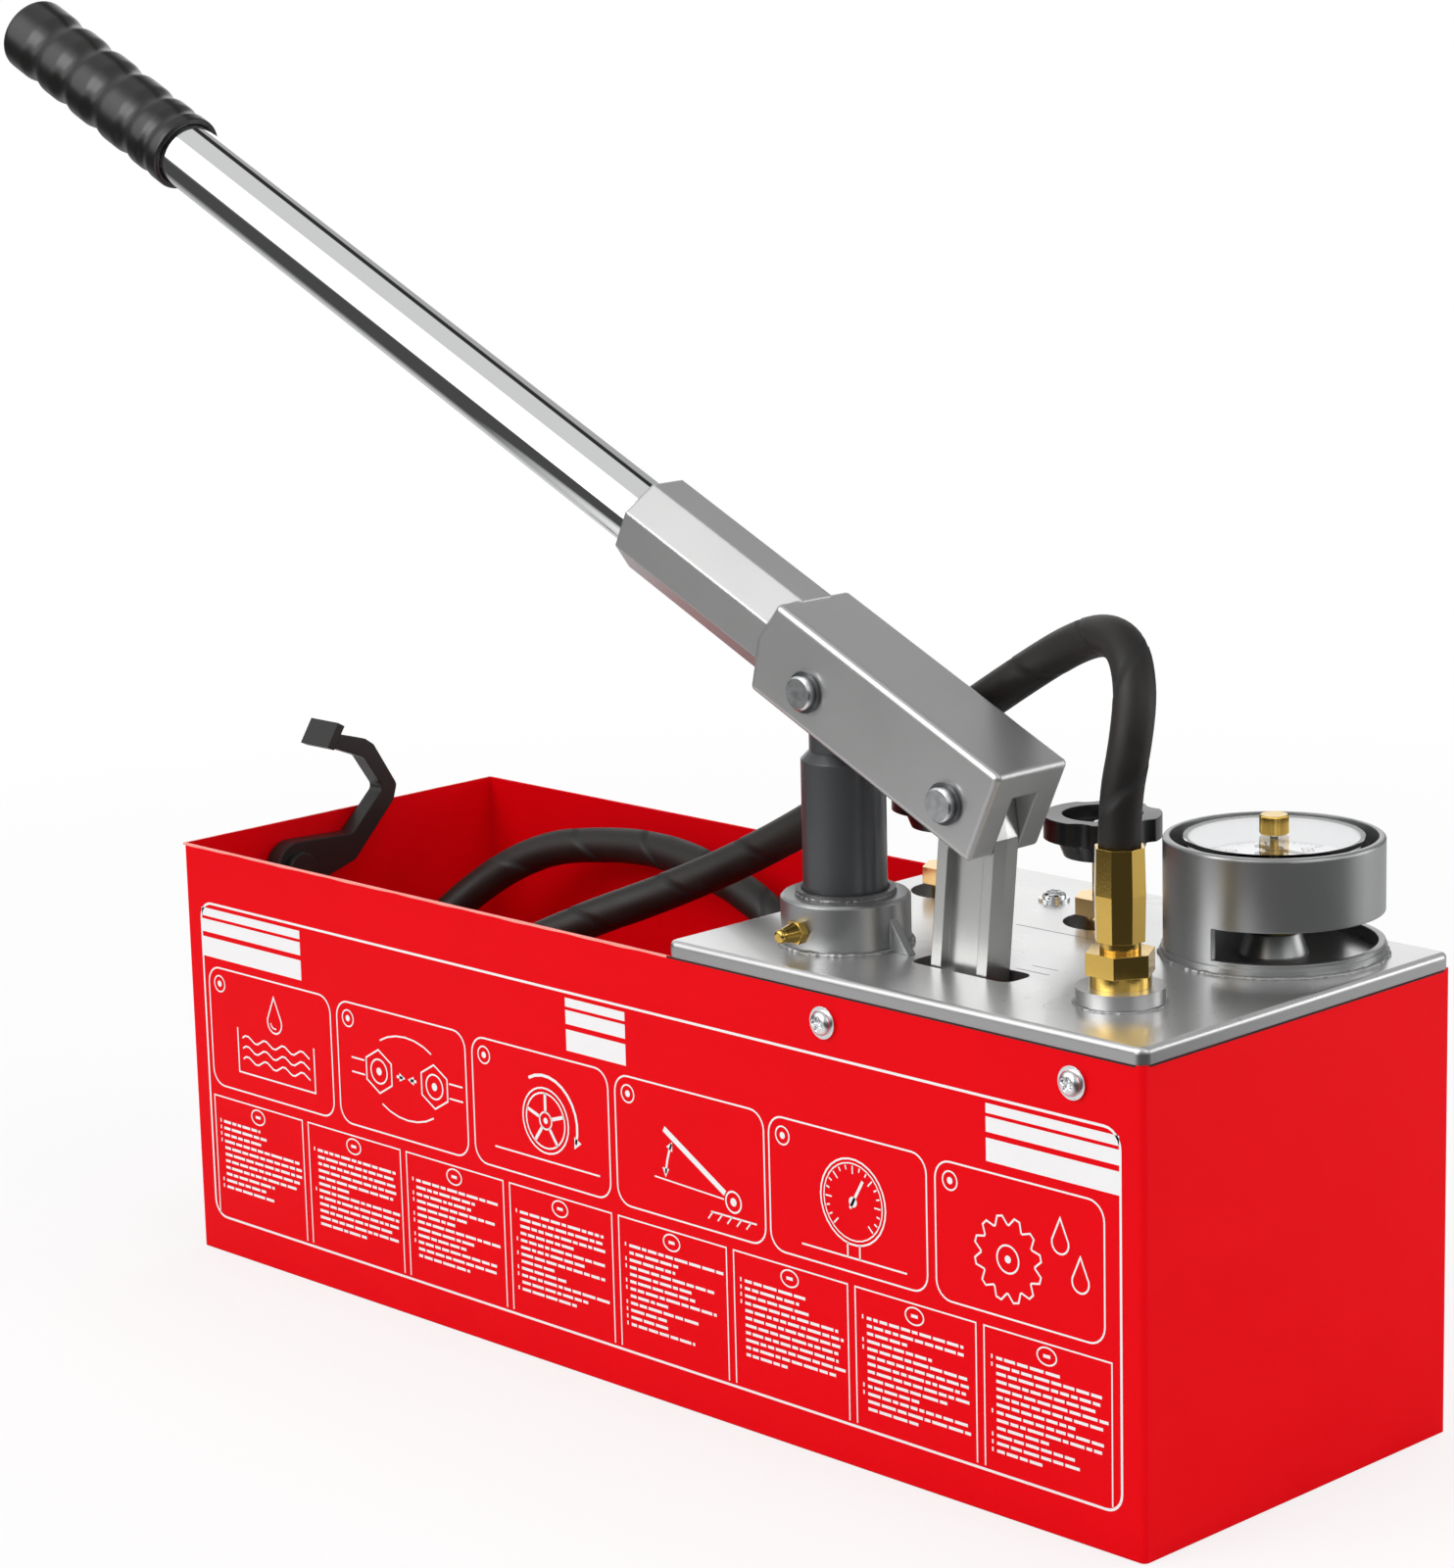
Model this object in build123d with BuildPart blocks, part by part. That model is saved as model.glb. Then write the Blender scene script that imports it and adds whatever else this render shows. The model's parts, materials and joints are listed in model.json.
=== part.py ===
from build123d import *
import os
from math import asin, cos, degrees, pi, radians, sin, sqrt, tan

# Hand pump for pressure testing of pipework, on its own water tank.
# Frame: origin in the middle of the tank's base, +X towards the gauge, +Z up.
# All sizes are in millimetres.

os.makedirs("parts", exist_ok=True)

# Fits and clearances
overrun = 1.0
running_fit = 0.05
seat_gap = 0.1
face_gap = 0.3

# Water tank, bent from sheet steel
tank_length = 520.0
tank_width = 170.0
tank_height = 175.0
tank_sheet = 1.2
tank_bend = 2.2

# Pump plate and the skirts that hold it between the tank's walls
plate_length = 228.2
plate_thickness = 6.0
plate_edge_round = 2.2
plate_corner = 4.0
skirt_height = 22.0
skirt_thickness = 3.0
skirt_inset = 8.0
plug_weld_radius = 4.5
plug_weld_shares = ((0.338, -0.171), (0.746, -0.365), (0.435, 0.447))

# Side screws through the tank's walls into the skirts
screw_shank_radius = 2.4
screw_head_radius = 4.6
screw_head_height = 2.6
washer_radius = 6.0
washer_thickness = 1.0
side_screw_drop = 11.0
side_screw_inset_left = 80.4
side_screw_inset_right = 30.7

# Cylinder: collar on the plate, barrel in the tank
cylinder_inset = 176.5
pump_y = -43.0
collar_radius = 23.9
collar_height = 18.5
collar_chamfer = 1.0
collar_lip = 6.5
gusset_height = 11.7
gusset_length = 9.0
gusset_thickness = 3.6
gusset_root = 3.0
barrel_radius = 21.0
barrel_bore = 17.5
packing_radius = 19.4
packing_height = 11.6
wiper_radius = 18.4
wiper_height = 2.0

# Grease nipple
nipple_drop = 8.2
nipple_hex = 8.0
nipple_hex_length = 3.5
nipple_length = 11.5
nipple_radius = 3.9
nipple_tip_radius = 2.6
nipple_thread_radius = 2.5

# Plunger
plunger_radius = 15.5
plunger_wall = 3.5
plunger_shoulder_drop = 27.0
plunger_chamfer = 3.2
plunger_floor_gap = 6.3
plunger_base = 6.0
eye_radius = 12.3
eye_spigot = 22.0

# Linkage at rest, as photographed
lever_angle = 25.0
pin_spacing = 74.4
link_length = 85.4
lower_pin_reach = 59.0
lower_pin_drop = 21.0
pin_radius = 6.25
pin_stand = 4.6
clip_radius = 7.7
clip_thickness = 1.2

# Travel of the lever about its rest pose, in degrees, for the clearances of the open pivot
lever_down = 33.5
lever_up = 17.0
plunger_travel_per_radian = 69.5
link_turn_share = -0.24

# Cast lever head with its octagonal socket
lever_axis_lift = 5.0
head_width = 37.0
head_rise = 17.0
head_drop = 19.2
head_nose = 29.5
head_nose_step = 4.2
head_tail = 92.0
head_round = 2.2
neck_pocket_width = 27.6
neck_pocket_start = 17.5
neck_pocket_end = 37.0
head_roof = 6.0
link_slot_width = 13.2
link_roof_gap = 0.6
socket_flats = 35.5
socket_start = 109.0
socket_depth = 74.0
socket_end_round = 1.5

# Lever tube and grip
tube_radius = 13.45
tube_wall = 2.3
grip_end = 528.0
grip_length = 115.0
grip_radius = 16.2
grip_cap = 4.0
grip_round = 3.0
grip_groove_depth = 1.2
grip_groove_round = 7.0
grip_groove_shares = (0.183, 0.374, 0.565, 0.774, 0.904)

# Link
link_width = 27.0
link_depth = 12.5
link_rim = 5.0
link_web = 5.0
link_eye_margin = 3.0
link_eye_radius = 10.4
link_shoulder_drop = 13.0
link_draft = 2.5

# Bracket under the plate for the link's lower pin
bracket_leg = 5.0
bracket_length = 36.0
bracket_depth = 37.0
bracket_web = 4.5
bracket_side_gap = 1.2
slot_margin = 0.6
plate_slot_width = 15.0
plate_slot_gap = 2.0
plate_slot_spare = 9.0

# Valve block under the plate
block_length = 187.0
block_inset = 29.0
block_front = 22.0
block_depth = 40.0
block_height = 30.0
block_edge = 1.5
gallery_radius = 3.0
gallery_drop = 17.0
outlet_rise = 7.0
pipe_socket = 6.0
plate_screw_inset = 160.0
plate_screw_y = 53.0
plate_screw_depth = 10.0

# Shut-off and release valves
valve_y = 39.5
release_valve_inset = 201.0
shutoff_valve_inset = 124.0
valve_hole_radius = 15.0
nut_flats = 19.0
nut_rise = 3.5
nut_height = 6.5
nut_neck_radius = 7.0
nut_thread_depth = 9.0
stem_radius = 4.0
stem_reach = 17.0
stem_point = 4.0
knob_top = 41.0
knob_radius = 22.0
knob_rim_height = 8.5
knob_lobes = 5
knob_notch_radius = 8.0
knob_notch_reach = 28.0
knob_hub_radius = 16.7
knob_hub_foot = 14.5
knob_height = 15.5
knob_hub_taper = 5.5
knob_dish_radius = 15.0
knob_dish_depth = 5.0
knob_screw_radius = 4.2
knob_screw_height = 2.4

# Pressure gauge in its guard ring
gauge_inset = 48.0
gauge_y = 44.5
guard_radius = 39.7
guard_wall = 2.5
guard_height = 43.0
guard_top_round = 1.2
guard_foot_radius = 40.4
guard_foot_height = 3.4
window_bottom = 5.0
window_height = 11.5
window_half_angle = 85.0
boss_radius = 12.7
boss_top_radius = 9.8
boss_height = 8.0
gauge_stem_radius = 6.6
gauge_hex = 14.0
case_bottom = 18.0
case_radius = 34.5
case_wall = 2.0
case_depth = 16.0
dial_radius = 30.5
dial_thickness = 0.8
dial_height = 31.5
lens_radius = 32.3
lens_wall = 1.6
lens_top = 43.0
lens_thickness = 2.0
needle_spindle = 1.0
needle_hub_radius = 3.4
needle_hub_height = 1.6
needle_length = 24.0
needle_tail = 8.0
needle_width = 2.2
needle_thickness = 0.7
needle_clearance = 1.0
reset_spindle = 1.5
reset_knob_radius = 5.3
reset_knob_height = 7.0
reset_knob_gap = 0.5

# Pressure hose and its fittings
hose_port_inset = 45.0
hose_port_y = -43.5
hose_boss_radius = 15.8
hose_boss_height = 6.0
union_flange_radius = 10.85
union_flange_height = 4.5
union_thread_radius = 8.0
union_thread_depth = 22.0
hose_nut_flats = 22.0
hose_nut_height = 8.0
neck_radius = 7.2
neck_height = 3.5
ferrule_flats = 16.6
ferrule_length = 33.0
ferrule_swell = 0.7
hose_radius = 7.5
end_nut_flats = 27.0
end_nut_length = 24.0
end_nut_thread_radius = 9.3
end_nut_thread_depth = 15.0

# Pipes in the tank
pipe_radius = 5.0
pipe_bore = 3.0
pipe_bend = 9.0
delivery_y = -2.0
delivery_valve_rise = 26.0

# Suction foot, inlet valve and strainer
foot_radius = 24.0
foot_flange = 8.0
foot_spigot = 7.0
valve_ball_radius = 5.0
valve_cage_gap = 0.6
valve_seat_radius = 3.6
valve_body_radius = 11.0
valve_body_length = 18.0
valve_seat_depth = 3.5
valve_roof = 2.6
strainer_radius = 16.0
strainer_wall = 1.2
strainer_height = 20.0
strainer_stand = 0.8
strainer_hole_radius = 2.0
strainer_hole_rows = 2
strainer_hole_count = 8

# Lever hook on the tank's left wall
hook_thickness = 8.0
hook_washer_thickness = 1.2
hook_washer_radius = 9.0
hook_pivot_y = -32.5
hook_pivot_drop = 19.0
hook_pin_radius = 4.0
hook_pin_head_radius = 7.0
hook_pin_head = 3.0
hook_pad_width = 18.0
hook_eye_radius = 11.5
hook_size = 60.0
hook_arm_shares = (
    (0.0, 0.192),
    (0.497, 0.168),
    (0.793, 0.45),
    (0.625, 0.7),
    (0.305, 0.83),
    (0.35, 0.917),
    (0.643, 0.833),
    (0.72, 0.78),
    (0.917, 0.46),
    (0.883, 0.35),
    (0.508, -0.025),
    (0.25, -0.1),
    (0.0, -0.192),
)
hook_pad_shares = ((0.338, 1.005), (0.233, 0.843), (0.29, 0.815), (0.395, 0.972))
hook_bend_round = 3.0

# Places that several pieces share
tank_end = tank_length / 2
tank_side = tank_width / 2
plate_right = tank_end
plate_left = plate_right - plate_length
plate_mid_x = (plate_left + plate_right) / 2
plate_bottom = tank_height
plate_top = plate_bottom + plate_thickness
collar_top = plate_top + collar_height
cylinder_x = plate_right - cylinder_inset
lower_pin_x = cylinder_x + lower_pin_reach
release_valve_x = plate_right - release_valve_inset
shutoff_valve_x = plate_right - shutoff_valve_inset
gauge_x = plate_right - gauge_inset
hose_port_x = plate_right - hose_port_inset
block_right = plate_right - block_inset
block_left = block_right - block_length
strainer_z = tank_sheet + strainer_stand
inlet_valve_z = strainer_z + strainer_height
foot_bottom_z = inlet_valve_z + valve_body_length
barrel_bottom = foot_bottom_z + foot_flange
barrel_length = plate_top - barrel_bottom
skirt_mid_y = tank_side - tank_sheet - face_gap - skirt_thickness / 2
side_screw_z = plate_bottom - side_screw_drop
side_screw_xs = (plate_left + side_screw_inset_left, plate_right - side_screw_inset_right)
packing_top = collar_top - collar_lip
block_bottom = plate_bottom - block_height
block_mid_x = (block_left + block_right) / 2
block_mid_y = block_front + block_depth / 2
gallery_z = plate_bottom - gallery_drop
outlet_z = block_bottom + outlet_rise
plate_screw_place = (plate_right - plate_screw_inset, plate_screw_y)
plug_weld_places = [
    (plate_left + plate_length * along, tank_width * across) for along, across in plug_weld_shares
]
# Linkage worked out from its lengths
lower_pin_z = plate_top - lower_pin_drop
link_pin_x = cylinder_x + pin_spacing * cos(radians(lever_angle))
link_lean = link_pin_x - lower_pin_x
link_pin_z = lower_pin_z + sqrt(link_length**2 - link_lean**2)
plunger_pin_z = link_pin_z + pin_spacing * sin(radians(lever_angle))
link_rest_angle = degrees(asin(link_lean / link_length))


def upright(x, y):
    """Plane through (x, y), local X along +X and local Y along +Z."""
    return Plane(origin=(x, y, 0), x_dir=(1, 0, 0), z_dir=(0, -1, 0))


def stand(x, y):
    """Vertical axis through (x, y)."""
    return Axis((x, y, 0), (0, 0, 1))


def link_place(turn):
    """Upper pin, lower pin and lean of the link when the lever turns by so many degrees."""
    angle = radians(lever_angle + turn)
    lean = radians(link_rest_angle + link_turn_share * turn)
    rise = plunger_travel_per_radian * radians(turn)
    upper_x = cylinder_x + pin_spacing * cos(angle)
    upper_z = plunger_pin_z + rise - pin_spacing * sin(angle)
    return upper_x, upper_z, upper_x - link_length * sin(lean), upper_z - link_length * cos(lean), lean


# Room that the open pivot and the link's shank need over the lever's travel
lever_steps = 16
lever_turns = [(lever_down + lever_up) * step / lever_steps - lever_down for step in range(lever_steps + 1)]
link_places = [link_place(turn) for turn in lever_turns]
slot_left = min(place[2] for place in link_places) - pin_radius - slot_margin
slot_right = max(place[2] for place in link_places) + pin_radius + slot_margin
slot_low = min(place[3] for place in link_places) - pin_radius - slot_margin
slot_high = max(place[3] for place in link_places) + pin_radius + slot_margin
slot_mid_x = (slot_left + slot_right) / 2
shank_xs = []
for upper_x, upper_z, lower_x, lower_z, lean in link_places:
    shank_xs += [lower_x + (z - lower_z) * tan(lean) for z in (plate_bottom, plate_top)]
shank_half = link_width / 2 / cos(radians(link_rest_angle))
plate_slot_left = min(shank_xs) - shank_half - plate_slot_gap
plate_slot_right = max(shank_xs) + shank_half + plate_slot_spare

# Tank: open box with small bends at its upright edges
with BuildPart() as tank:
    with BuildSketch():
        RectangleRounded(tank_length, tank_width, tank_bend)
    extrude(amount=tank_height)
    with BuildSketch(Plane.XY.offset(tank_sheet)):
        RectangleRounded(tank_length - 2 * tank_sheet, tank_width - 2 * tank_sheet, tank_bend - tank_sheet)
    extrude(amount=tank_height, mode=Mode.SUBTRACT)
    with BuildSketch(Plane.XZ):
        with Locations(*[(x, side_screw_z) for x in side_screw_xs]):
            Circle(screw_shank_radius + seat_gap)
    extrude(amount=tank_width, both=True, mode=Mode.SUBTRACT)
    with BuildSketch(Plane.YZ.offset(-tank_end - overrun)):
        with Locations((hook_pivot_y, plate_bottom - hook_pivot_drop)):
            Circle(hook_pin_radius + seat_gap)
    extrude(amount=tank_sheet + 2 * overrun, mode=Mode.SUBTRACT)
tank.part.label = "tank"
export_step(tank.part, "parts/tank.step")

# Plate: rounded edges, holes for everything that passes through it
with BuildPart() as pump_plate:
    with BuildSketch(Plane.XY.offset(plate_bottom)):
        with Locations((plate_mid_x, 0)):
            RectangleRounded(plate_length, tank_width, plate_corner)
    extrude(amount=plate_thickness)
    top_edges = pump_plate.faces().sort_by(Axis.Z)[-1].edges()
    fillet(top_edges, radius=plate_edge_round)
    with BuildSketch(Plane.XY.offset(plate_bottom)):
        with Locations((plate_mid_x, skirt_mid_y), (plate_mid_x, -skirt_mid_y)):
            Rectangle(plate_length - 2 * skirt_inset, skirt_thickness)
    extrude(amount=-skirt_height)
    with BuildSketch(Plane.XY.offset(plate_top)):
        with Locations((cylinder_x, pump_y)):
            Circle(barrel_radius + seat_gap)
        with Locations((release_valve_x, valve_y), (shutoff_valve_x, valve_y)):
            Circle(valve_hole_radius)
        with Locations((gauge_x, gauge_y)):
            Circle(gauge_stem_radius + seat_gap)
        with Locations((hose_port_x, hose_port_y)):
            Circle(union_thread_radius + seat_gap)
        with Locations(((plate_slot_left + plate_slot_right) / 2, pump_y)):
            RectangleRounded(plate_slot_right - plate_slot_left, plate_slot_width, plate_slot_width / 3)
        with Locations(*plug_weld_places):
            Circle(plug_weld_radius)
        with Locations(plate_screw_place):
            Circle(screw_shank_radius + seat_gap)
    extrude(amount=-plate_thickness, mode=Mode.SUBTRACT)
    with BuildSketch(Plane.XZ):
        with Locations(*[(x, side_screw_z) for x in side_screw_xs]):
            Circle(screw_shank_radius + seat_gap)
    extrude(amount=tank_width, both=True, mode=Mode.SUBTRACT)
pump_plate.part.label = "pump_plate"
export_step(pump_plate.part, "parts/pump_plate.step")

# Plug welds, flush with the plate
with BuildPart() as plug_welds:
    with BuildSketch(Plane.XY.offset(plate_bottom)):
        with Locations(*plug_weld_places):
            Circle(plug_weld_radius - seat_gap / 2)
    extrude(amount=plate_thickness)
plug_welds.part.label = "plug_welds"
export_step(plug_welds.part, "parts/plug_welds.step")

# Washers and pan-head screws: two on each long side, one in the plate
screw_plane_z = plate_top + washer_thickness
with BuildPart() as screw_washers:
    for side in (1, -1):
        with BuildSketch(Plane.XZ.offset(side * tank_side)):
            with Locations(*[(x, side_screw_z) for x in side_screw_xs]):
                Circle(washer_radius)
                Circle(screw_shank_radius + seat_gap, mode=Mode.SUBTRACT)
        extrude(amount=side * washer_thickness)
    with BuildSketch(Plane.XY.offset(plate_top)):
        with Locations(plate_screw_place):
            Circle(washer_radius)
            Circle(screw_shank_radius + seat_gap, mode=Mode.SUBTRACT)
    extrude(amount=washer_thickness)
screw_washers.part.label = "screw_washers"
export_step(screw_washers.part, "parts/screw_washers.step")

with BuildPart() as pan_screws:
    for side in (1, -1):
        with BuildSketch(Plane.XZ.offset(side * (tank_side + washer_thickness))):
            with Locations(*[(x, side_screw_z) for x in side_screw_xs]):
                Circle(screw_head_radius)
        extrude(amount=side * screw_head_height)
    with BuildSketch(Plane.XY.offset(screw_plane_z)):
        with Locations(plate_screw_place):
            Circle(screw_head_radius)
    extrude(amount=screw_head_height)
    rims = pan_screws.edges().group_by(Axis.Y)
    fillet(rims[0] + rims[-1] + pan_screws.edges().sort_by(Axis.Z)[-1:], radius=screw_head_height / 2)
    for side in (1, -1):
        with BuildSketch(Plane.XZ.offset(side * (tank_side + washer_thickness))):
            with Locations(*[(x, side_screw_z) for x in side_screw_xs]):
                Circle(screw_shank_radius)
        extrude(amount=-side * (washer_thickness + tank_sheet + 2 * skirt_thickness))
    with BuildSketch(Plane.XY.offset(screw_plane_z)):
        with Locations(plate_screw_place):
            Circle(screw_shank_radius)
    extrude(amount=-(washer_thickness + plate_thickness + plate_screw_depth - face_gap))
pan_screws.part.label = "pan_screws"
export_step(pan_screws.part, "parts/pan_screws.step")

# Collar with its two gussets and the grease hole
with BuildPart() as cylinder_collar:
    with BuildSketch(upright(cylinder_x, pump_y)):
        Polygon(
            (packing_radius + seat_gap, plate_top),
            (collar_radius, plate_top),
            (collar_radius, collar_top - collar_chamfer),
            (collar_radius - collar_chamfer, collar_top),
            (plunger_radius + face_gap, collar_top),
            (plunger_radius + face_gap, packing_top),
            (packing_radius + seat_gap, packing_top),
        )
    revolve(axis=stand(cylinder_x, pump_y))
    with BuildSketch(upright(cylinder_x, pump_y)):
        for side in (1, -1):
            Polygon(
                (side * (collar_radius - gusset_root), plate_top),
                (side * (collar_radius + gusset_length), plate_top),
                (side * collar_radius, plate_top + gusset_height),
                (side * (collar_radius - gusset_root), plate_top + gusset_height),
            )
    extrude(amount=gusset_thickness / 2, both=True)
    with BuildSketch(Plane.XZ.offset(-pump_y)):
        with Locations((cylinder_x, plate_top + nipple_drop)):
            Circle(nipple_thread_radius + seat_gap)
    extrude(amount=collar_radius + overrun, mode=Mode.SUBTRACT)
cylinder_collar.part.label = "cylinder_collar"
export_step(cylinder_collar.part, "parts/cylinder_collar.step")

# Grease nipple, pointing to the front
with BuildPart() as grease_nipple:
    nipple_plane = Plane.XZ.offset(-pump_y + collar_radius)
    nipple_place = (cylinder_x, plate_top + nipple_drop)
    with BuildSketch(nipple_plane):
        with Locations(nipple_place):
            RegularPolygon(nipple_hex / 2, 6, major_radius=False)
    extrude(amount=nipple_hex_length)
    with BuildSketch(nipple_plane.offset(nipple_hex_length)):
        with Locations(nipple_place):
            Circle(nipple_radius)
    with BuildSketch(nipple_plane.offset(nipple_length - nipple_tip_radius)):
        with Locations(nipple_place):
            Circle(nipple_tip_radius)
    loft()
    with BuildSketch(nipple_plane.offset(nipple_length - nipple_tip_radius)):
        with Locations(nipple_place):
            Circle(nipple_tip_radius)
    extrude(amount=nipple_tip_radius)
    fillet(grease_nipple.edges().sort_by(Axis.Y)[0], radius=nipple_tip_radius / 2)
    with BuildSketch(nipple_plane):
        with Locations(nipple_place):
            Circle(nipple_thread_radius)
    extrude(amount=-nipple_hex_length)
grease_nipple.part.label = "grease_nipple"
export_step(grease_nipple.part, "parts/grease_nipple.step")

# Barrel, welded through the plate
with BuildPart() as cylinder_barrel:
    with BuildSketch(Plane.XY.offset(barrel_bottom)):
        with Locations((cylinder_x, pump_y)):
            Circle(barrel_radius)
            Circle(barrel_bore, mode=Mode.SUBTRACT)
    extrude(amount=barrel_length)
cylinder_barrel.part.label = "cylinder_barrel"
export_step(cylinder_barrel.part, "parts/cylinder_barrel.step")

# Packing in the collar, on the barrel's end, and the wiper on top of the collar
with BuildPart() as plunger_packing:
    with BuildSketch(Plane.XY.offset(plate_top)):
        with Locations((cylinder_x, pump_y)):
            Circle(packing_radius)
            Circle(plunger_radius + running_fit, mode=Mode.SUBTRACT)
    extrude(amount=packing_height)
plunger_packing.part.label = "plunger_packing"
export_step(plunger_packing.part, "parts/plunger_packing.step")

with BuildPart() as plunger_wiper:
    with BuildSketch(Plane.XY.offset(collar_top)):
        with Locations((cylinder_x, pump_y)):
            Circle(wiper_radius)
            Circle(plunger_radius + running_fit, mode=Mode.SUBTRACT)
    extrude(amount=wiper_height)
    chamfer(plunger_wiper.edges().sort_by(Axis.Z)[-1], length=wiper_height / 2)
plunger_wiper.part.label = "plunger_wiper"
export_step(plunger_wiper.part, "parts/plunger_wiper.step")

# Plunger: a closed tube, and the eye that carries its pin
shoulder_z = plunger_pin_z - plunger_shoulder_drop
plunger_top = shoulder_z + plunger_chamfer
plunger_lowest = barrel_bottom + foot_spigot + plunger_floor_gap
plunger_bottom = plunger_lowest + plunger_travel_per_radian * radians(lever_down)
plunger_bore = plunger_radius - plunger_wall
with BuildPart() as plunger_tube:
    with BuildSketch(upright(cylinder_x, pump_y)):
        Polygon(
            (0, plunger_bottom),
            (plunger_radius, plunger_bottom),
            (plunger_radius, shoulder_z),
            (eye_radius + seat_gap, plunger_top),
            (plunger_bore, plunger_top),
            (plunger_bore, plunger_bottom + plunger_base),
            (0, plunger_bottom + plunger_base),
        )
    revolve(axis=stand(cylinder_x, pump_y))
plunger_tube.part.label = "plunger_tube"
export_step(plunger_tube.part, "parts/plunger_tube.step")

with BuildPart() as plunger_eye:
    with BuildSketch(Plane.XY.offset(plunger_top)):
        with Locations((cylinder_x, pump_y)):
            Circle(eye_radius)
    extrude(amount=plunger_pin_z + eye_radius - plunger_top)
    with BuildSketch(upright(cylinder_x, pump_y)):
        with Locations((0, plunger_pin_z)):
            Circle(eye_radius)
        with Locations((0, plunger_top)):
            Rectangle(2 * (eye_radius + overrun), plunger_pin_z - plunger_top, align=(Align.CENTER, Align.MIN))
    extrude(amount=eye_radius, both=True, mode=Mode.INTERSECT)
    with BuildSketch(Plane.XY.offset(plunger_top)):
        with Locations((cylinder_x, pump_y)):
            Circle(plunger_bore - seat_gap)
    extrude(amount=-eye_spigot)
    with BuildSketch(upright(cylinder_x, pump_y)):
        with Locations((0, plunger_pin_z)):
            Circle(pin_radius + running_fit)
    extrude(amount=eye_radius, both=True, mode=Mode.SUBTRACT)
plunger_eye.part.label = "plunger_eye"
export_step(plunger_eye.part, "parts/plunger_eye.step")

# Lever frame: origin at the plunger's pin, local X down the lever to the link, local Y square to it
tilt = radians(lever_angle)
lever_plane = Plane(
    origin=(cylinder_x, pump_y, plunger_pin_z),
    x_dir=(cos(tilt), 0, -sin(tilt)),
    z_dir=(0, -1, 0),
)
lever_direction = lever_plane.x_dir


def across_lever(distance):
    """Plane square to the lever's tube, so far along it from the plunger's pin."""
    centre = lever_plane.from_local_coords(Vector(distance, lever_axis_lift, 0))
    return Plane(origin=centre, x_dir=(0, 1, 0), z_dir=lever_direction)


# Lever head: cast block with an octagonal socket, a pocket for the eye and a slot for the link
head_top = lever_axis_lift + head_rise
head_bottom = lever_axis_lift - head_drop
link_slot_top = link_eye_radius + link_roof_gap
with BuildPart() as lever_head:
    with BuildSketch(lever_plane):
        Polygon(
            (head_nose_step - head_nose, head_bottom),
            (head_tail, head_bottom),
            (head_tail, head_top),
            (head_nose_step - head_nose, head_top),
            (-head_nose, lever_axis_lift),
        )
    extrude(amount=head_width / 2, both=True)
    fillet(lever_head.edges(), radius=head_round)
    with BuildSketch(across_lever(-socket_start)):
        RegularPolygon(socket_flats / 2, 8, major_radius=False, rotation=180 / 8)
    extrude(amount=socket_start - head_nose + head_nose_step + head_round)
    rim = lever_head.faces().sort_by(Axis(lever_plane.origin, lever_direction))[0]
    fillet(rim.edges(), radius=socket_end_round)
    with BuildSketch(across_lever(-socket_start)):
        Circle(tube_radius + seat_gap)
    extrude(amount=socket_depth, mode=Mode.SUBTRACT)
    with BuildSketch(lever_plane):
        with Locations((-neck_pocket_start, head_bottom - overrun)):
            Rectangle(
                neck_pocket_start + neck_pocket_end,
                head_top - head_bottom - head_roof + overrun,
                align=(Align.MIN, Align.MIN),
            )
    extrude(amount=neck_pocket_width / 2, both=True, mode=Mode.SUBTRACT)
    with BuildSketch(lever_plane):
        with Locations((0, head_bottom - overrun)):
            Rectangle(
                head_tail + overrun,
                link_slot_top - head_bottom + overrun,
                align=(Align.MIN, Align.MIN),
            )
    extrude(amount=link_slot_width / 2, both=True, mode=Mode.SUBTRACT)
    with BuildSketch(lever_plane):
        with Locations((0, 0), (pin_spacing, 0)):
            Circle(pin_radius + running_fit)
    extrude(amount=head_width, both=True, mode=Mode.SUBTRACT)
lever_head.part.label = "lever_head"
export_step(lever_head.part, "parts/lever_head.step")

# Pins of the lever head, each with a retaining clip at both ends
pin_half = head_width / 2 + pin_stand
for pin_name, pin_place in (("plunger_pin", 0), ("link_pin", pin_spacing)):
    with BuildPart() as pin:
        with BuildSketch(lever_plane):
            with Locations((pin_place, 0)):
                Circle(pin_radius)
        extrude(amount=pin_half, both=True)
        chamfer(pin.edges().filter_by(GeomType.CIRCLE), length=pin_radius / 10)
    pin.part.label = pin_name
    export_step(pin.part, "parts/" + pin_name + ".step")

with BuildPart() as pin_clips:
    for side in (1, -1):
        with BuildSketch(lever_plane.offset(side * (head_width / 2 + seat_gap))):
            with Locations((0, 0), (pin_spacing, 0)):
                Circle(clip_radius)
                Circle(pin_radius + seat_gap, mode=Mode.SUBTRACT)
        extrude(amount=side * clip_thickness)
pin_clips.part.label = "pin_clips"
export_step(pin_clips.part, "parts/pin_clips.step")

# Lever tube, pushed into the socket
tube_inner_end = socket_start - socket_depth
with BuildPart() as lever_tube:
    with BuildSketch(across_lever(grip_cap - grip_end)):
        Circle(tube_radius)
        Circle(tube_radius - tube_wall, mode=Mode.SUBTRACT)
    extrude(amount=grip_end - grip_cap - tube_inner_end - seat_gap)
lever_tube.part.label = "lever_tube"
export_step(lever_tube.part, "parts/lever_tube.step")

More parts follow.
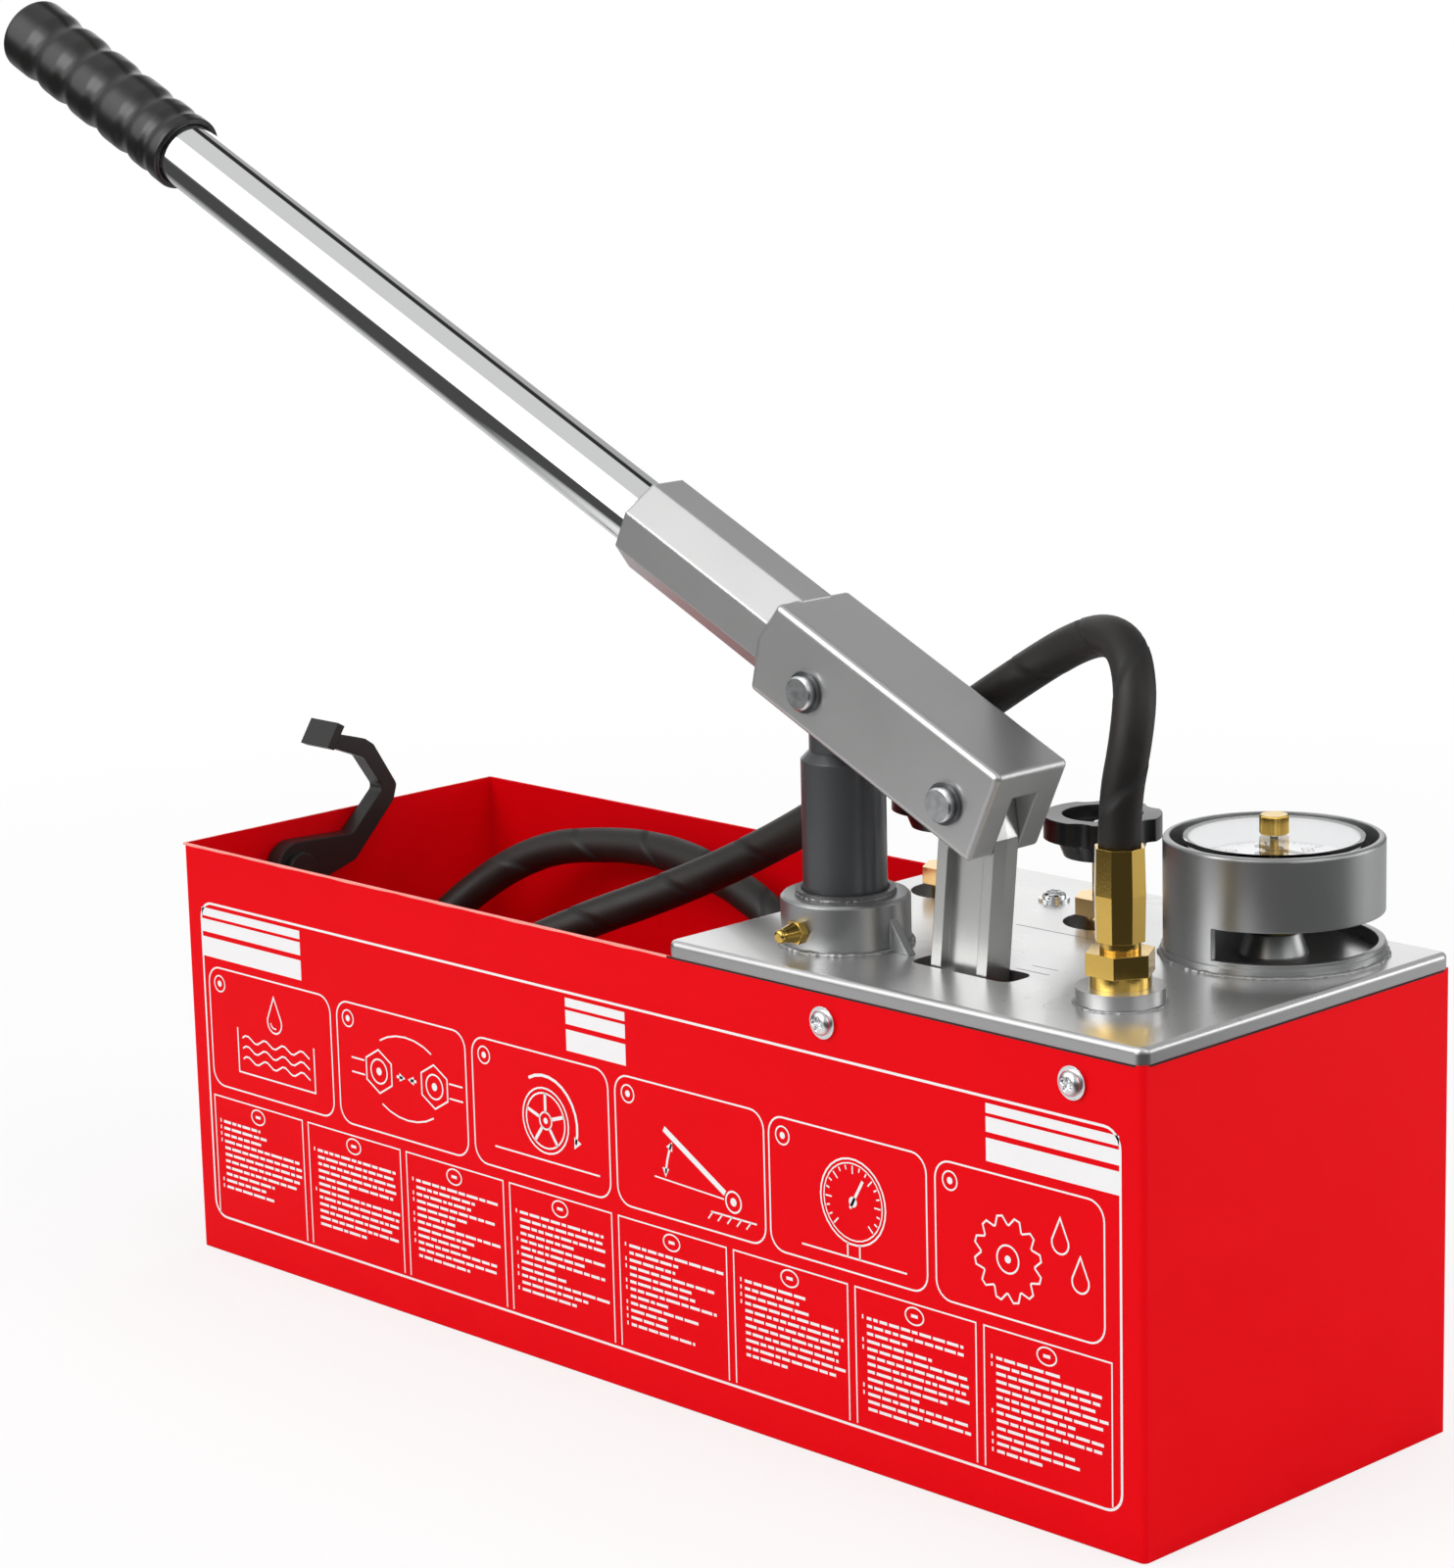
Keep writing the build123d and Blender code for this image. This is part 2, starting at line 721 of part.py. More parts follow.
# Rubber grip with a closed end and rounded grooves
grip_groove_centre = grip_radius + grip_groove_round - grip_groove_depth
grip_profile = Plane(origin=across_lever(-grip_end).origin, x_dir=lever_direction, z_dir=(0, -1, 0))
with BuildPart() as lever_grip:
    with BuildSketch(across_lever(-grip_end)):
        Circle(grip_radius)
    extrude(amount=grip_length)
    fillet(lever_grip.edges(), radius=grip_round)
    for groove_share in grip_groove_shares:
        with BuildSketch(grip_profile):
            with Locations((grip_length * groove_share, grip_groove_centre)):
                Circle(grip_groove_round)
        revolve(axis=Axis(grip_profile.origin, lever_direction), mode=Mode.SUBTRACT)
    with BuildSketch(across_lever(grip_cap - grip_end)):
        Circle(tube_radius + seat_gap / 2)
    extrude(amount=grip_length, mode=Mode.SUBTRACT)
lever_grip.part.label = "lever_grip"
export_step(lever_grip.part, "parts/lever_grip.step")

# Link frame: origin at the lower pin, local Y up the link
lean = radians(link_rest_angle)
link_plane = Plane(
    origin=(lower_pin_x, pump_y, lower_pin_z),
    x_dir=(cos(lean), 0, -sin(lean)),
    z_dir=(0, -1, 0),
)

# Link: H section with an eye at each end
pocket_length = link_length - link_width - 2 * link_eye_margin
pocket_depth = (link_depth - link_web) / 2
with BuildPart() as link:
    with BuildSketch(link_plane):
        Circle(link_width / 2)
        with Locations((0, link_length)):
            Circle(link_eye_radius)
        Polygon(
            (-link_width / 2, 0),
            (link_width / 2, 0),
            (link_width / 2, link_length - link_shoulder_drop),
            (link_eye_radius, link_length),
            (-link_eye_radius, link_length),
            (-link_width / 2, link_length - link_shoulder_drop),
        )
    extrude(amount=link_depth / 2, both=True, taper=link_draft)
    for side in (1, -1):
        with BuildSketch(link_plane.offset(side * link_depth / 2)):
            with Locations((0, link_length / 2)):
                RectangleRounded(link_width - 2 * link_rim, pocket_length, link_rim)
        extrude(amount=-side * pocket_depth, mode=Mode.SUBTRACT)
    with BuildSketch(link_plane):
        with Locations((0, 0), (0, link_length)):
            Circle(pin_radius + running_fit)
    extrude(amount=link_depth, both=True, mode=Mode.SUBTRACT)
link.part.label = "link"
export_step(link.part, "parts/link.step")

# Bracket: strap bent to a U, with slots that let the open pivot wander
bracket_inner = link_depth / 2 + bracket_side_gap
with BuildPart() as link_bracket:
    with BuildSketch(Plane.YZ.offset(slot_mid_x - bracket_length / 2)):
        with Locations((pump_y, plate_bottom)):
            Rectangle(2 * (bracket_inner + bracket_leg), bracket_depth, align=(Align.CENTER, Align.MAX))
    extrude(amount=bracket_length)
    fillet(link_bracket.edges().filter_by(Axis.X).group_by(Axis.Z)[0], radius=bracket_web)
    with BuildSketch(Plane.YZ.offset(slot_mid_x - bracket_length / 2)):
        with Locations((pump_y, plate_bottom)):
            Rectangle(2 * bracket_inner, bracket_depth - bracket_web, align=(Align.CENTER, Align.MAX))
    extrude(amount=bracket_length, mode=Mode.SUBTRACT)
    with BuildSketch(upright(0, pump_y)):
        with Locations(((slot_left + slot_right) / 2, (slot_low + slot_high) / 2)):
            RectangleRounded(slot_right - slot_left, slot_high - slot_low, pin_radius / 2)
    extrude(amount=bracket_inner + bracket_leg + overrun, both=True, mode=Mode.SUBTRACT)
link_bracket.part.label = "link_bracket"
export_step(link_bracket.part, "parts/link_bracket.step")

# Lower pin, riding in the link and standing in the bracket's slots
lower_pin_half = bracket_inner + bracket_leg + clip_thickness
with BuildPart() as lower_link_pin:
    with BuildSketch(link_plane):
        Circle(pin_radius)
    extrude(amount=lower_pin_half, both=True)
lower_link_pin.part.label = "lower_link_pin"
export_step(lower_link_pin.part, "parts/lower_link_pin.step")

# Valve block with its long gallery, screwed up against the plate
with BuildPart() as valve_block:
    with BuildSketch(Plane.XY.offset(block_bottom)):
        with Locations((block_mid_x, block_mid_y)):
            Rectangle(block_length, block_depth)
    extrude(amount=block_height)
    chamfer(valve_block.edges().filter_by(Axis.Z), length=block_edge)
    with BuildSketch(Plane.YZ.offset(block_left)):
        with Locations((valve_y, gallery_z)):
            Circle(gallery_radius)
    extrude(amount=gauge_x - block_left, mode=Mode.SUBTRACT)
    with BuildSketch(Plane.XY.offset(plate_bottom)):
        with Locations((release_valve_x, valve_y), (shutoff_valve_x, valve_y)):
            Circle(nut_neck_radius + seat_gap)
    extrude(amount=-nut_thread_depth, mode=Mode.SUBTRACT)
    with BuildSketch(Plane.XY.offset(plate_bottom)):
        with Locations((release_valve_x, valve_y), (shutoff_valve_x, valve_y)):
            Circle(stem_radius + face_gap)
    extrude(amount=-stem_reach - stem_point, mode=Mode.SUBTRACT)
    with BuildSketch(Plane.XY.offset(plate_bottom)):
        with Locations((gauge_x, gauge_y)):
            Circle(gauge_stem_radius + seat_gap)
    extrude(amount=-gallery_drop, mode=Mode.SUBTRACT)
    with BuildSketch(Plane.XZ.offset(-block_front)):
        with Locations((hose_port_x, outlet_z), (cylinder_x, gallery_z)):
            Circle(pipe_radius + seat_gap)
    extrude(amount=-pipe_socket, mode=Mode.SUBTRACT)
    with BuildSketch(Plane.XZ.offset(-block_front)):
        with Locations((hose_port_x, outlet_z), (cylinder_x, gallery_z)):
            Circle(gallery_radius)
    extrude(amount=block_front - valve_y, mode=Mode.SUBTRACT)
    with BuildSketch(Plane.XY.offset(block_bottom)):
        with Locations((release_valve_x, valve_y)):
            Circle(gallery_radius)
    extrude(amount=gallery_z - block_bottom, mode=Mode.SUBTRACT)
    with BuildSketch(Plane.XY.offset(plate_bottom)):
        with Locations(plate_screw_place):
            Circle(screw_shank_radius + seat_gap)
    extrude(amount=-plate_screw_depth, mode=Mode.SUBTRACT)
valve_block.part.label = "valve_block"
export_step(valve_block.part, "parts/valve_block.step")


# The two valves, alike: gland nut, stem, star knob and the knob's screw
knob_top_z = plate_top + knob_top
knob_foot_z = knob_top_z - knob_height
dish_floor_z = knob_top_z - knob_dish_depth
for valve, valve_x in (("release", release_valve_x), ("shutoff", shutoff_valve_x)):
    with BuildPart() as gland_nut:
        with BuildSketch(Plane.XY.offset(plate_top + nut_rise)):
            with Locations((valve_x, valve_y)):
                RegularPolygon(nut_flats / 2, 6, major_radius=False)
        extrude(amount=nut_height)
        with BuildSketch(Plane.XY.offset(plate_bottom - nut_thread_depth)):
            with Locations((valve_x, valve_y)):
                Circle(nut_neck_radius)
        extrude(amount=nut_thread_depth + plate_thickness + nut_rise)
        with BuildSketch(Plane.XY.offset(plate_top + nut_rise + nut_height)):
            with Locations((valve_x, valve_y)):
                Circle(stem_radius + running_fit)
        extrude(amount=-(nut_thread_depth + plate_thickness + nut_rise + nut_height), mode=Mode.SUBTRACT)
    gland_nut.part.label = valve + "_gland_nut"
    export_step(gland_nut.part, "parts/" + valve + "_gland_nut.step")

    with BuildPart() as valve_stem:
        with BuildSketch(upright(valve_x, valve_y)):
            Polygon(
                (0, plate_bottom - stem_reach - stem_point + face_gap),
                (stem_radius, plate_bottom - stem_reach),
                (stem_radius, dish_floor_z),
                (0, dish_floor_z),
            )
        revolve(axis=stand(valve_x, valve_y))
    valve_stem.part.label = valve + "_valve_stem"
    export_step(valve_stem.part, "parts/" + valve + "_valve_stem.step")

    with BuildPart() as knob:
        with BuildSketch(upright(valve_x, valve_y)):
            Polygon(
                (0, knob_foot_z),
                (knob_hub_foot, knob_foot_z),
                (knob_hub_radius, knob_foot_z + knob_hub_taper),
                (knob_hub_radius, knob_top_z - knob_rim_height),
                (0, knob_top_z - knob_rim_height),
            )
        revolve(axis=stand(valve_x, valve_y))
        with BuildSketch(Plane.XY.offset(knob_top_z - knob_rim_height)):
            with Locations((valve_x, valve_y)):
                Circle(knob_radius)
                with PolarLocations(knob_notch_reach, knob_lobes):
                    Circle(knob_notch_radius, mode=Mode.SUBTRACT)
        extrude(amount=knob_rim_height)
        with BuildSketch(Plane.XY.offset(knob_top_z)):
            with Locations((valve_x, valve_y)):
                Circle(knob_dish_radius)
        extrude(amount=-knob_dish_depth, mode=Mode.SUBTRACT)
        with BuildSketch(Plane.XY.offset(dish_floor_z)):
            with Locations((valve_x, valve_y)):
                Circle(stem_radius + seat_gap / 2)
        extrude(amount=-knob_height, mode=Mode.SUBTRACT)
    knob.part.label = valve + "_knob"
    export_step(knob.part, "parts/" + valve + "_knob.step")

    with BuildPart() as knob_screw:
        with BuildSketch(Plane.XY.offset(dish_floor_z)):
            with Locations((valve_x, valve_y)):
                Circle(knob_screw_radius)
        extrude(amount=knob_screw_height)
        fillet(knob_screw.edges().sort_by(Axis.Z)[-1], radius=knob_screw_height / 2)
    knob_screw.part.label = valve + "_knob_screw"
    export_step(knob_screw.part, "parts/" + valve + "_knob_screw.step")

# Guard ring round the gauge, with its foot and the window that shows the stem
with BuildPart() as gauge_guard:
    with BuildSketch(Plane.XY.offset(plate_top)):
        with Locations((gauge_x, gauge_y)):
            Circle(guard_radius)
    extrude(amount=guard_height)
    fillet(gauge_guard.edges().sort_by(Axis.Z)[-1], radius=guard_top_round)
    with BuildSketch(Plane.XY.offset(plate_top)):
        with Locations((gauge_x, gauge_y)):
            Circle(guard_foot_radius)
    extrude(amount=guard_foot_height)
    with BuildSketch(Plane.XY.offset(plate_top)):
        with Locations((gauge_x, gauge_y)):
            Circle(guard_radius - guard_wall)
    extrude(amount=guard_height, mode=Mode.SUBTRACT)
    window_reach = 2 * guard_radius
    window_side = window_reach * sin(radians(window_half_angle))
    window_front = window_reach * cos(radians(window_half_angle))
    with BuildSketch(Plane.XY.offset(plate_top + window_bottom)):
        with Locations((gauge_x, gauge_y)):
            Polygon(
                (0, 0),
                (window_front, -window_side),
                (window_reach, -window_side),
                (window_reach, window_side),
                (window_front, window_side),
            )
    extrude(amount=window_height, mode=Mode.SUBTRACT)
gauge_guard.part.label = "gauge_guard"
export_step(gauge_guard.part, "parts/gauge_guard.step")

# Gauge: boss and stem
with BuildPart() as gauge_boss:
    with BuildSketch(upright(gauge_x, gauge_y)):
        Polygon(
            (gauge_stem_radius + seat_gap, plate_top),
            (boss_radius, plate_top),
            (boss_top_radius, plate_top + boss_height),
            (gauge_stem_radius + seat_gap, plate_top + boss_height),
        )
    revolve(axis=stand(gauge_x, gauge_y))
gauge_boss.part.label = "gauge_boss"
export_step(gauge_boss.part, "parts/gauge_boss.step")

stem_bottom_z = plate_bottom - gallery_drop + face_gap
case_bottom_z = plate_top + case_bottom
with BuildPart() as gauge_stem:
    with BuildSketch(Plane.XY.offset(stem_bottom_z)):
        with Locations((gauge_x, gauge_y)):
            Circle(gauge_stem_radius)
    extrude(amount=case_bottom_z - stem_bottom_z)
    with BuildSketch(Plane.XY.offset(plate_top + boss_height)):
        with Locations((gauge_x, gauge_y)):
            RegularPolygon(gauge_hex / 2, 6, major_radius=False)
    extrude(amount=gauge_stem_radius)
gauge_stem.part.label = "gauge_stem"
export_step(gauge_stem.part, "parts/gauge_stem.step")

# Gauge: case, dial, clear lens
dial_z = plate_top + dial_height
lens_top_z = plate_top + lens_top
with BuildPart() as gauge_case:
    with BuildSketch(upright(gauge_x, gauge_y)):
        Polygon(
            (0, case_bottom_z),
            (case_radius - case_wall, case_bottom_z),
            (case_radius, case_bottom_z + case_wall),
            (case_radius, case_bottom_z + case_depth),
            (case_radius - case_wall, case_bottom_z + case_depth),
            (case_radius - case_wall, dial_z),
            (dial_radius - case_wall, dial_z),
            (dial_radius - case_wall, dial_z - case_wall),
            (case_radius - case_wall, dial_z - case_wall),
            (case_radius - case_wall, case_bottom_z + case_wall),
            (0, case_bottom_z + case_wall),
        )
    revolve(axis=stand(gauge_x, gauge_y))
gauge_case.part.label = "gauge_case"
export_step(gauge_case.part, "parts/gauge_case.step")

with BuildPart() as gauge_dial:
    with BuildSketch(Plane.XY.offset(dial_z)):
        with Locations((gauge_x, gauge_y)):
            Circle(dial_radius)
            Circle(needle_spindle + running_fit, mode=Mode.SUBTRACT)
    extrude(amount=dial_thickness)
gauge_dial.part.label = "gauge_dial"
export_step(gauge_dial.part, "parts/gauge_dial.step")

with BuildPart() as gauge_lens:
    with BuildSketch(upright(gauge_x, gauge_y)):
        Polygon(
            (lens_radius - lens_wall, dial_z),
            (lens_radius, dial_z),
            (lens_radius, lens_top_z),
            (reset_spindle + running_fit, lens_top_z),
            (reset_spindle + running_fit, lens_top_z - lens_thickness),
            (lens_radius - lens_wall, lens_top_z - lens_thickness),
        )
    revolve(axis=stand(gauge_x, gauge_y))
gauge_lens.part.label = "gauge_lens"
export_step(gauge_lens.part, "parts/gauge_lens.step")


def hand_outline():
    """Tapered gauge hand about the origin, tail towards -X, point towards +X."""
    return (
        (-needle_tail, -needle_width / 2),
        (0, -needle_width / 2),
        (needle_length, -needle_width / 6),
        (needle_length, needle_width / 6),
        (0, needle_width / 2),
        (-needle_tail, needle_width / 2),
    )


# Gauge: needle, and the reset hand with its knurled knob
needle_z = dial_z + dial_thickness + needle_clearance
with BuildPart() as gauge_needle:
    with BuildSketch(Plane.XY.offset(needle_z)):
        with Locations((gauge_x, gauge_y)):
            Circle(needle_hub_radius)
    extrude(amount=needle_hub_height)
    with BuildSketch(Plane.XY.offset(needle_z)):
        with Locations((gauge_x, gauge_y)):
            Polygon(*hand_outline())
    extrude(amount=needle_thickness)
    with BuildSketch(Plane.XY.offset(needle_z)):
        with Locations((gauge_x, gauge_y)):
            Circle(needle_spindle)
    extrude(amount=-(needle_clearance + dial_thickness + case_wall - face_gap))
gauge_needle.part.label = "gauge_needle"
export_step(gauge_needle.part, "parts/gauge_needle.step")

reset_hand_z = needle_z + needle_hub_height + needle_clearance
with BuildPart() as reset_hand:
    with BuildSketch(Plane.XY.offset(reset_hand_z)):
        with Locations((gauge_x, gauge_y)):
            Circle(needle_hub_radius)
            Polygon(*hand_outline())
    extrude(amount=needle_thickness)
    with BuildSketch(Plane.XY.offset(reset_hand_z)):
        with Locations((gauge_x, gauge_y)):
            Circle(reset_spindle)
    extrude(amount=lens_top_z + reset_knob_gap - reset_hand_z)
reset_hand.part.label = "reset_hand"
export_step(reset_hand.part, "parts/reset_hand.step")

with BuildPart() as reset_knob:
    with BuildSketch(Plane.XY.offset(lens_top_z + reset_knob_gap)):
        with Locations((gauge_x, gauge_y)):
            Circle(reset_knob_radius)
    extrude(amount=reset_knob_height)
    chamfer(reset_knob.edges().group_by(Axis.Z)[-1], length=reset_knob_gap)
reset_knob.part.label = "reset_knob"
export_step(reset_knob.part, "parts/reset_knob.step")

# Hose outlet: boss on the plate, union through it, nut and nipple
union_z = plate_top + hose_boss_height
hose_nut_z = union_z + union_flange_height
nipple_z = hose_nut_z + hose_nut_height
ferrule_z = nipple_z + neck_height
with BuildPart() as hose_boss:
    with BuildSketch(Plane.XY.offset(plate_top)):
        with Locations((hose_port_x, hose_port_y)):
            Circle(hose_boss_radius)
            Circle(union_thread_radius + seat_gap, mode=Mode.SUBTRACT)
    extrude(amount=hose_boss_height)
    chamfer(hose_boss.edges().sort_by(Axis.Z)[-1], length=seat_gap)
hose_boss.part.label = "hose_boss"
export_step(hose_boss.part, "parts/hose_boss.step")

with BuildPart() as hose_union:
    with BuildSketch(Plane.XY.offset(union_z)):
        with Locations((hose_port_x, hose_port_y)):
            Circle(union_flange_radius)
    extrude(amount=union_flange_height)
    with BuildSketch(Plane.XY.offset(union_z - union_thread_depth)):
        with Locations((hose_port_x, hose_port_y)):
            Circle(union_thread_radius)
    extrude(amount=union_thread_depth)
    with BuildSketch(Plane.XY.offset(union_z - union_thread_depth)):
        with Locations((hose_port_x, hose_port_y)):
            Circle(pipe_bore)
    extrude(amount=union_thread_depth + union_flange_height, mode=Mode.SUBTRACT)
hose_union.part.label = "hose_union"
export_step(hose_union.part, "parts/hose_union.step")

with BuildPart() as hose_nut:
    with BuildSketch(Plane.XY.offset(hose_nut_z)):
        with Locations((hose_port_x, hose_port_y)):
            RegularPolygon(hose_nut_flats / 2, 6, major_radius=False)
    extrude(amount=hose_nut_height)
hose_nut.part.label = "hose_nut"
export_step(hose_nut.part, "parts/hose_nut.step")

# Hose route, chosen by hand: over the lever, down into the tank, one loop and along its back
hose_start = (hose_port_x, hose_port_y, ferrule_z + ferrule_length)
hose_route = [
    hose_start,
    (hose_port_x, hose_port_y, 252.0),
    (218.5, -41.5, 272.0),
    (216.0, -35.5, 291.0),
    (202.0, -25.0, 304.0),
    (176.0, -14.0, 301.0),
    (136.0, -8.5, 279.0),
    (82.0, -5.0, 245.0),
    (23.0, -5.0, 207.0),
    (-30.0, -13.0, 179.5),
    (-80.0, -33.0, 158.0),
    (-112.0, -53.0, 139.0),
    (-140.0, -68.0, 119.0),
    (-172.0, -75.0, 98.0),
    (-207.0, -70.0, 82.0),
    (-235.0, -50.0, 76.0),
    (-249.0, -19.0, 82.0),
    (-249.0, 15.0, 101.0),
    (-233.0, 43.0, 132.0),
    (-200.0, 59.0, 156.0),
    (-157.0, 65.0, 163.0),
    (-118.0, 63.0, 165.0),
    (-78.0, 56.0, 160.0),
    (-42.0, 49.0, 150.0),
    (-8.0, 46.0, 126.0),
    (26.0, 45.0, 93.0),
    (58.0, 45.5, 60.0),
    (89.0, 46.0, 29.0),
    (121.0, 46.0, 15.3),
    (156.0, 46.0, 15.3),
]


def corner_radii(route):
    """Radius of the arc at each corner, 0.45 of the shorter run over the tangent of half the turn."""
    points = [Vector(*point) for point in route]
    radii = []
    for before, corner, after in zip(points, points[1:], points[2:]):
        turn = (corner - before).get_angle(after - corner)
        shorter = min((corner - before).length, (after - corner).length)
        radii.append(0.45 * shorter / tan(radians(turn / 2)))
    return radii


hose_radii = corner_radii(hose_route)
with BuildPart() as pressure_hose:
    with BuildLine() as hose_path:
        FilletPolyline(*hose_route, radius=hose_radii)
    with BuildSketch(Plane(origin=hose_path.line @ 0, z_dir=hose_path.line % 0)):
        Circle(hose_radius)
    sweep(path=hose_path.line)
pressure_hose.part.label = "pressure_hose"
export_step(pressure_hose.part, "parts/pressure_hose.step")
hose_run = sum(edge.length for edge in hose_path.edges())
print("hose length", round(hose_run, 1))
print("hose radii", [round(radius) for radius in hose_radii])
hose_volume = pi * hose_radius**2 * hose_run
print("hose volume as a share of section times length", round(pressure_hose.part.volume / hose_volume, 4))


def hose_fittings(prefix, mouth):
    """Crimped octagonal ferrule and short neck, on a plane whose Z points away from the hose."""
    with BuildPart() as ferrule:
        for step, flats in ((0, ferrule_flats), (1, ferrule_flats + ferrule_swell), (2, ferrule_flats)):
            with BuildSketch(mouth.offset(step * ferrule_length / 2)):
                RegularPolygon(flats / 2, 8, major_radius=False, rotation=180 / 8)
        loft(ruled=True)
    ferrule.part.label = prefix + "_ferrule"
    export_step(ferrule.part, "parts/" + prefix + "_ferrule.step")
    with BuildPart() as neck:
        with BuildSketch(mouth.offset(ferrule_length)):
            Circle(neck_radius)
        extrude(amount=neck_height)
    neck.part.label = prefix + "_neck"
    export_step(neck.part, "parts/" + prefix + "_neck.step")


hose_fittings("hose", Plane(origin=hose_start, x_dir=(1, 0, 0), z_dir=(0, 0, -1)))
hose_end = Plane(origin=hose_route[-1], x_dir=(0, 0, 1), z_dir=(1, 0, 0))
hose_fittings("hose_end", hose_end)

# Swivel nut on the hose's free end, with the thread that joins the pipework
with BuildPart() as hose_end_nut:
    with BuildSketch(hose_end.offset(ferrule_length + neck_height)):
        RegularPolygon(end_nut_flats / 2, 6, major_radius=False, rotation=180 / 6)
    extrude(amount=end_nut_length)
    with BuildSketch(hose_end.offset(ferrule_length + neck_height + end_nut_length)):
        Circle(end_nut_thread_radius)
    extrude(amount=-end_nut_thread_depth, mode=Mode.SUBTRACT)
hose_end_nut.part.label = "hose_end_nut"
export_step(hose_end_nut.part, "parts/hose_end_nut.step")

# Cylinder foot, with the inlet below and the delivery at its side
foot_port_z = barrel_bottom - foot_flange / 2
with BuildPart() as cylinder_foot:
    with BuildSketch(Plane.XY.offset(foot_bottom_z)):
        with Locations((cylinder_x, pump_y)):
            Circle(foot_radius)
    extrude(amount=foot_flange)
    with BuildSketch(Plane.XY.offset(barrel_bottom)):
        with Locations((cylinder_x, pump_y)):
            Circle(barrel_bore - seat_gap)
    extrude(amount=foot_spigot)
    with BuildSketch(Plane.XY.offset(foot_bottom_z)):
        with Locations((cylinder_x, pump_y)):
            Circle(gallery_radius)
    extrude(amount=foot_flange + foot_spigot, mode=Mode.SUBTRACT)
    with BuildSketch(Plane.XZ.offset(-pump_y - foot_radius)):
        with Locations((cylinder_x, foot_port_z)):
            Circle(gallery_radius)
    extrude(amount=foot_radius, mode=Mode.SUBTRACT)
cylinder_foot.part.label = "cylinder_foot"
export_step(cylinder_foot.part, "parts/cylinder_foot.step")

# Inlet and delivery valves, alike: a body with a seat, and a loose ball
ball_rise = sqrt(valve_ball_radius**2 - valve_seat_radius**2)
delivery_valve_z = foot_port_z + delivery_valve_rise
for valve, place_y, valve_z in (("inlet", pump_y, inlet_valve_z), ("delivery", delivery_y, delivery_valve_z)):
    with BuildPart() as valve_body:
        with BuildSketch(Plane.XY.offset(valve_z)):
            with Locations((cylinder_x, place_y)):
                Circle(valve_body_radius)
        extrude(amount=valve_body_length)
        with BuildSketch(Plane.XY.offset(valve_z)):
            with Locations((cylinder_x, place_y)):
                Circle(valve_seat_radius)
        extrude(amount=valve_body_length, mode=Mode.SUBTRACT)
        with BuildSketch(Plane.XY.offset(valve_z + valve_seat_depth)):
            with Locations((cylinder_x, place_y)):
                Circle(valve_ball_radius + valve_cage_gap)
        extrude(amount=valve_body_length - valve_seat_depth - valve_roof, mode=Mode.SUBTRACT)
    valve_body.part.label = valve + "_valve_body"
    export_step(valve_body.part, "parts/" + valve + "_valve_body.step")

    with BuildPart() as valve_ball:
        with Locations((cylinder_x, place_y, valve_z + valve_seat_depth + ball_rise + seat_gap)):
            Sphere(valve_ball_radius)
    valve_ball.part.label = valve + "_ball"
    export_step(valve_ball.part, "parts/" + valve + "_ball.step")

# Strainer under the inlet valve
strainer_floor_z = strainer_z + strainer_wall
with BuildPart() as suction_strainer:
    with BuildSketch(Plane.XY.offset(strainer_z)):
        with Locations((cylinder_x, pump_y)):
            Circle(strainer_radius)
    extrude(amount=strainer_height)
    with BuildSketch(Plane.XY.offset(strainer_floor_z)):
        with Locations((cylinder_x, pump_y)):
            Circle(strainer_radius - strainer_wall)
    extrude(amount=strainer_height - 2 * strainer_wall, mode=Mode.SUBTRACT)
    with BuildSketch(Plane.XY.offset(strainer_z + strainer_height)):
        with Locations((cylinder_x, pump_y)):
            Circle(valve_seat_radius)
    extrude(amount=-2 * strainer_wall, mode=Mode.SUBTRACT)
    row_pitch = strainer_height / (strainer_hole_rows + 1)
    for hole in range(strainer_hole_count // 2):
        angle = radians(hole * 360 / strainer_hole_count)
        hole_direction = (cos(angle), sin(angle), 0)
        hole_plane = Plane(origin=(cylinder_x, pump_y, strainer_z), x_dir=(0, 0, 1), z_dir=hole_direction)
        with BuildSketch(hole_plane):
            with Locations(*[((row + 1) * row_pitch, 0) for row in range(strainer_hole_rows)]):
                Circle(strainer_hole_radius)
        extrude(amount=strainer_radius + overrun, both=True, mode=Mode.SUBTRACT)
suction_strainer.part.label = "suction_strainer"
export_step(suction_strainer.part, "parts/suction_strainer.step")

# Pipes: foot to delivery valve, valve to block, block to the hose's union
foot_side = pump_y + foot_radius
valve_top_z = delivery_valve_z + valve_body_length
pipe_routes = {
    "delivery_pipe": [
        (cylinder_x, foot_side, foot_port_z),
        (cylinder_x, delivery_y, foot_port_z),
        (cylinder_x, delivery_y, delivery_valve_z),
    ],
    "riser_pipe": [
        (cylinder_x, delivery_y, valve_top_z),
        (cylinder_x, delivery_y, gallery_z),
        (cylinder_x, block_front + pipe_socket - face_gap, gallery_z),
    ],
    "outlet_pipe": [
        (hose_port_x, block_front + pipe_socket - face_gap, outlet_z),
        (hose_port_x, hose_port_y, outlet_z),
        (hose_port_x, hose_port_y, union_z - union_thread_depth),
    ],
}
for pipe_name, route in pipe_routes.items():
    with BuildPart() as pipe:
        with BuildLine() as pipe_path:
            FilletPolyline(*route, radius=pipe_bend)
        with BuildSketch(Plane(origin=pipe_path.line @ 0, z_dir=pipe_path.line % 0)):
            Circle(pipe_radius)
            Circle(pipe_bore, mode=Mode.SUBTRACT)
        sweep(path=pipe_path.line)
    pipe.part.label = pipe_name
    export_step(pipe.part, "parts/" + pipe_name + ".step")

# Lever hook: swings about a pin in the left wall, closes over the lowered lever
hook_left = -tank_end + tank_sheet + hook_washer_thickness + seat_gap
hook_pivot_z = plate_bottom - hook_pivot_drop
hook_mid = hook_left + hook_thickness / 2


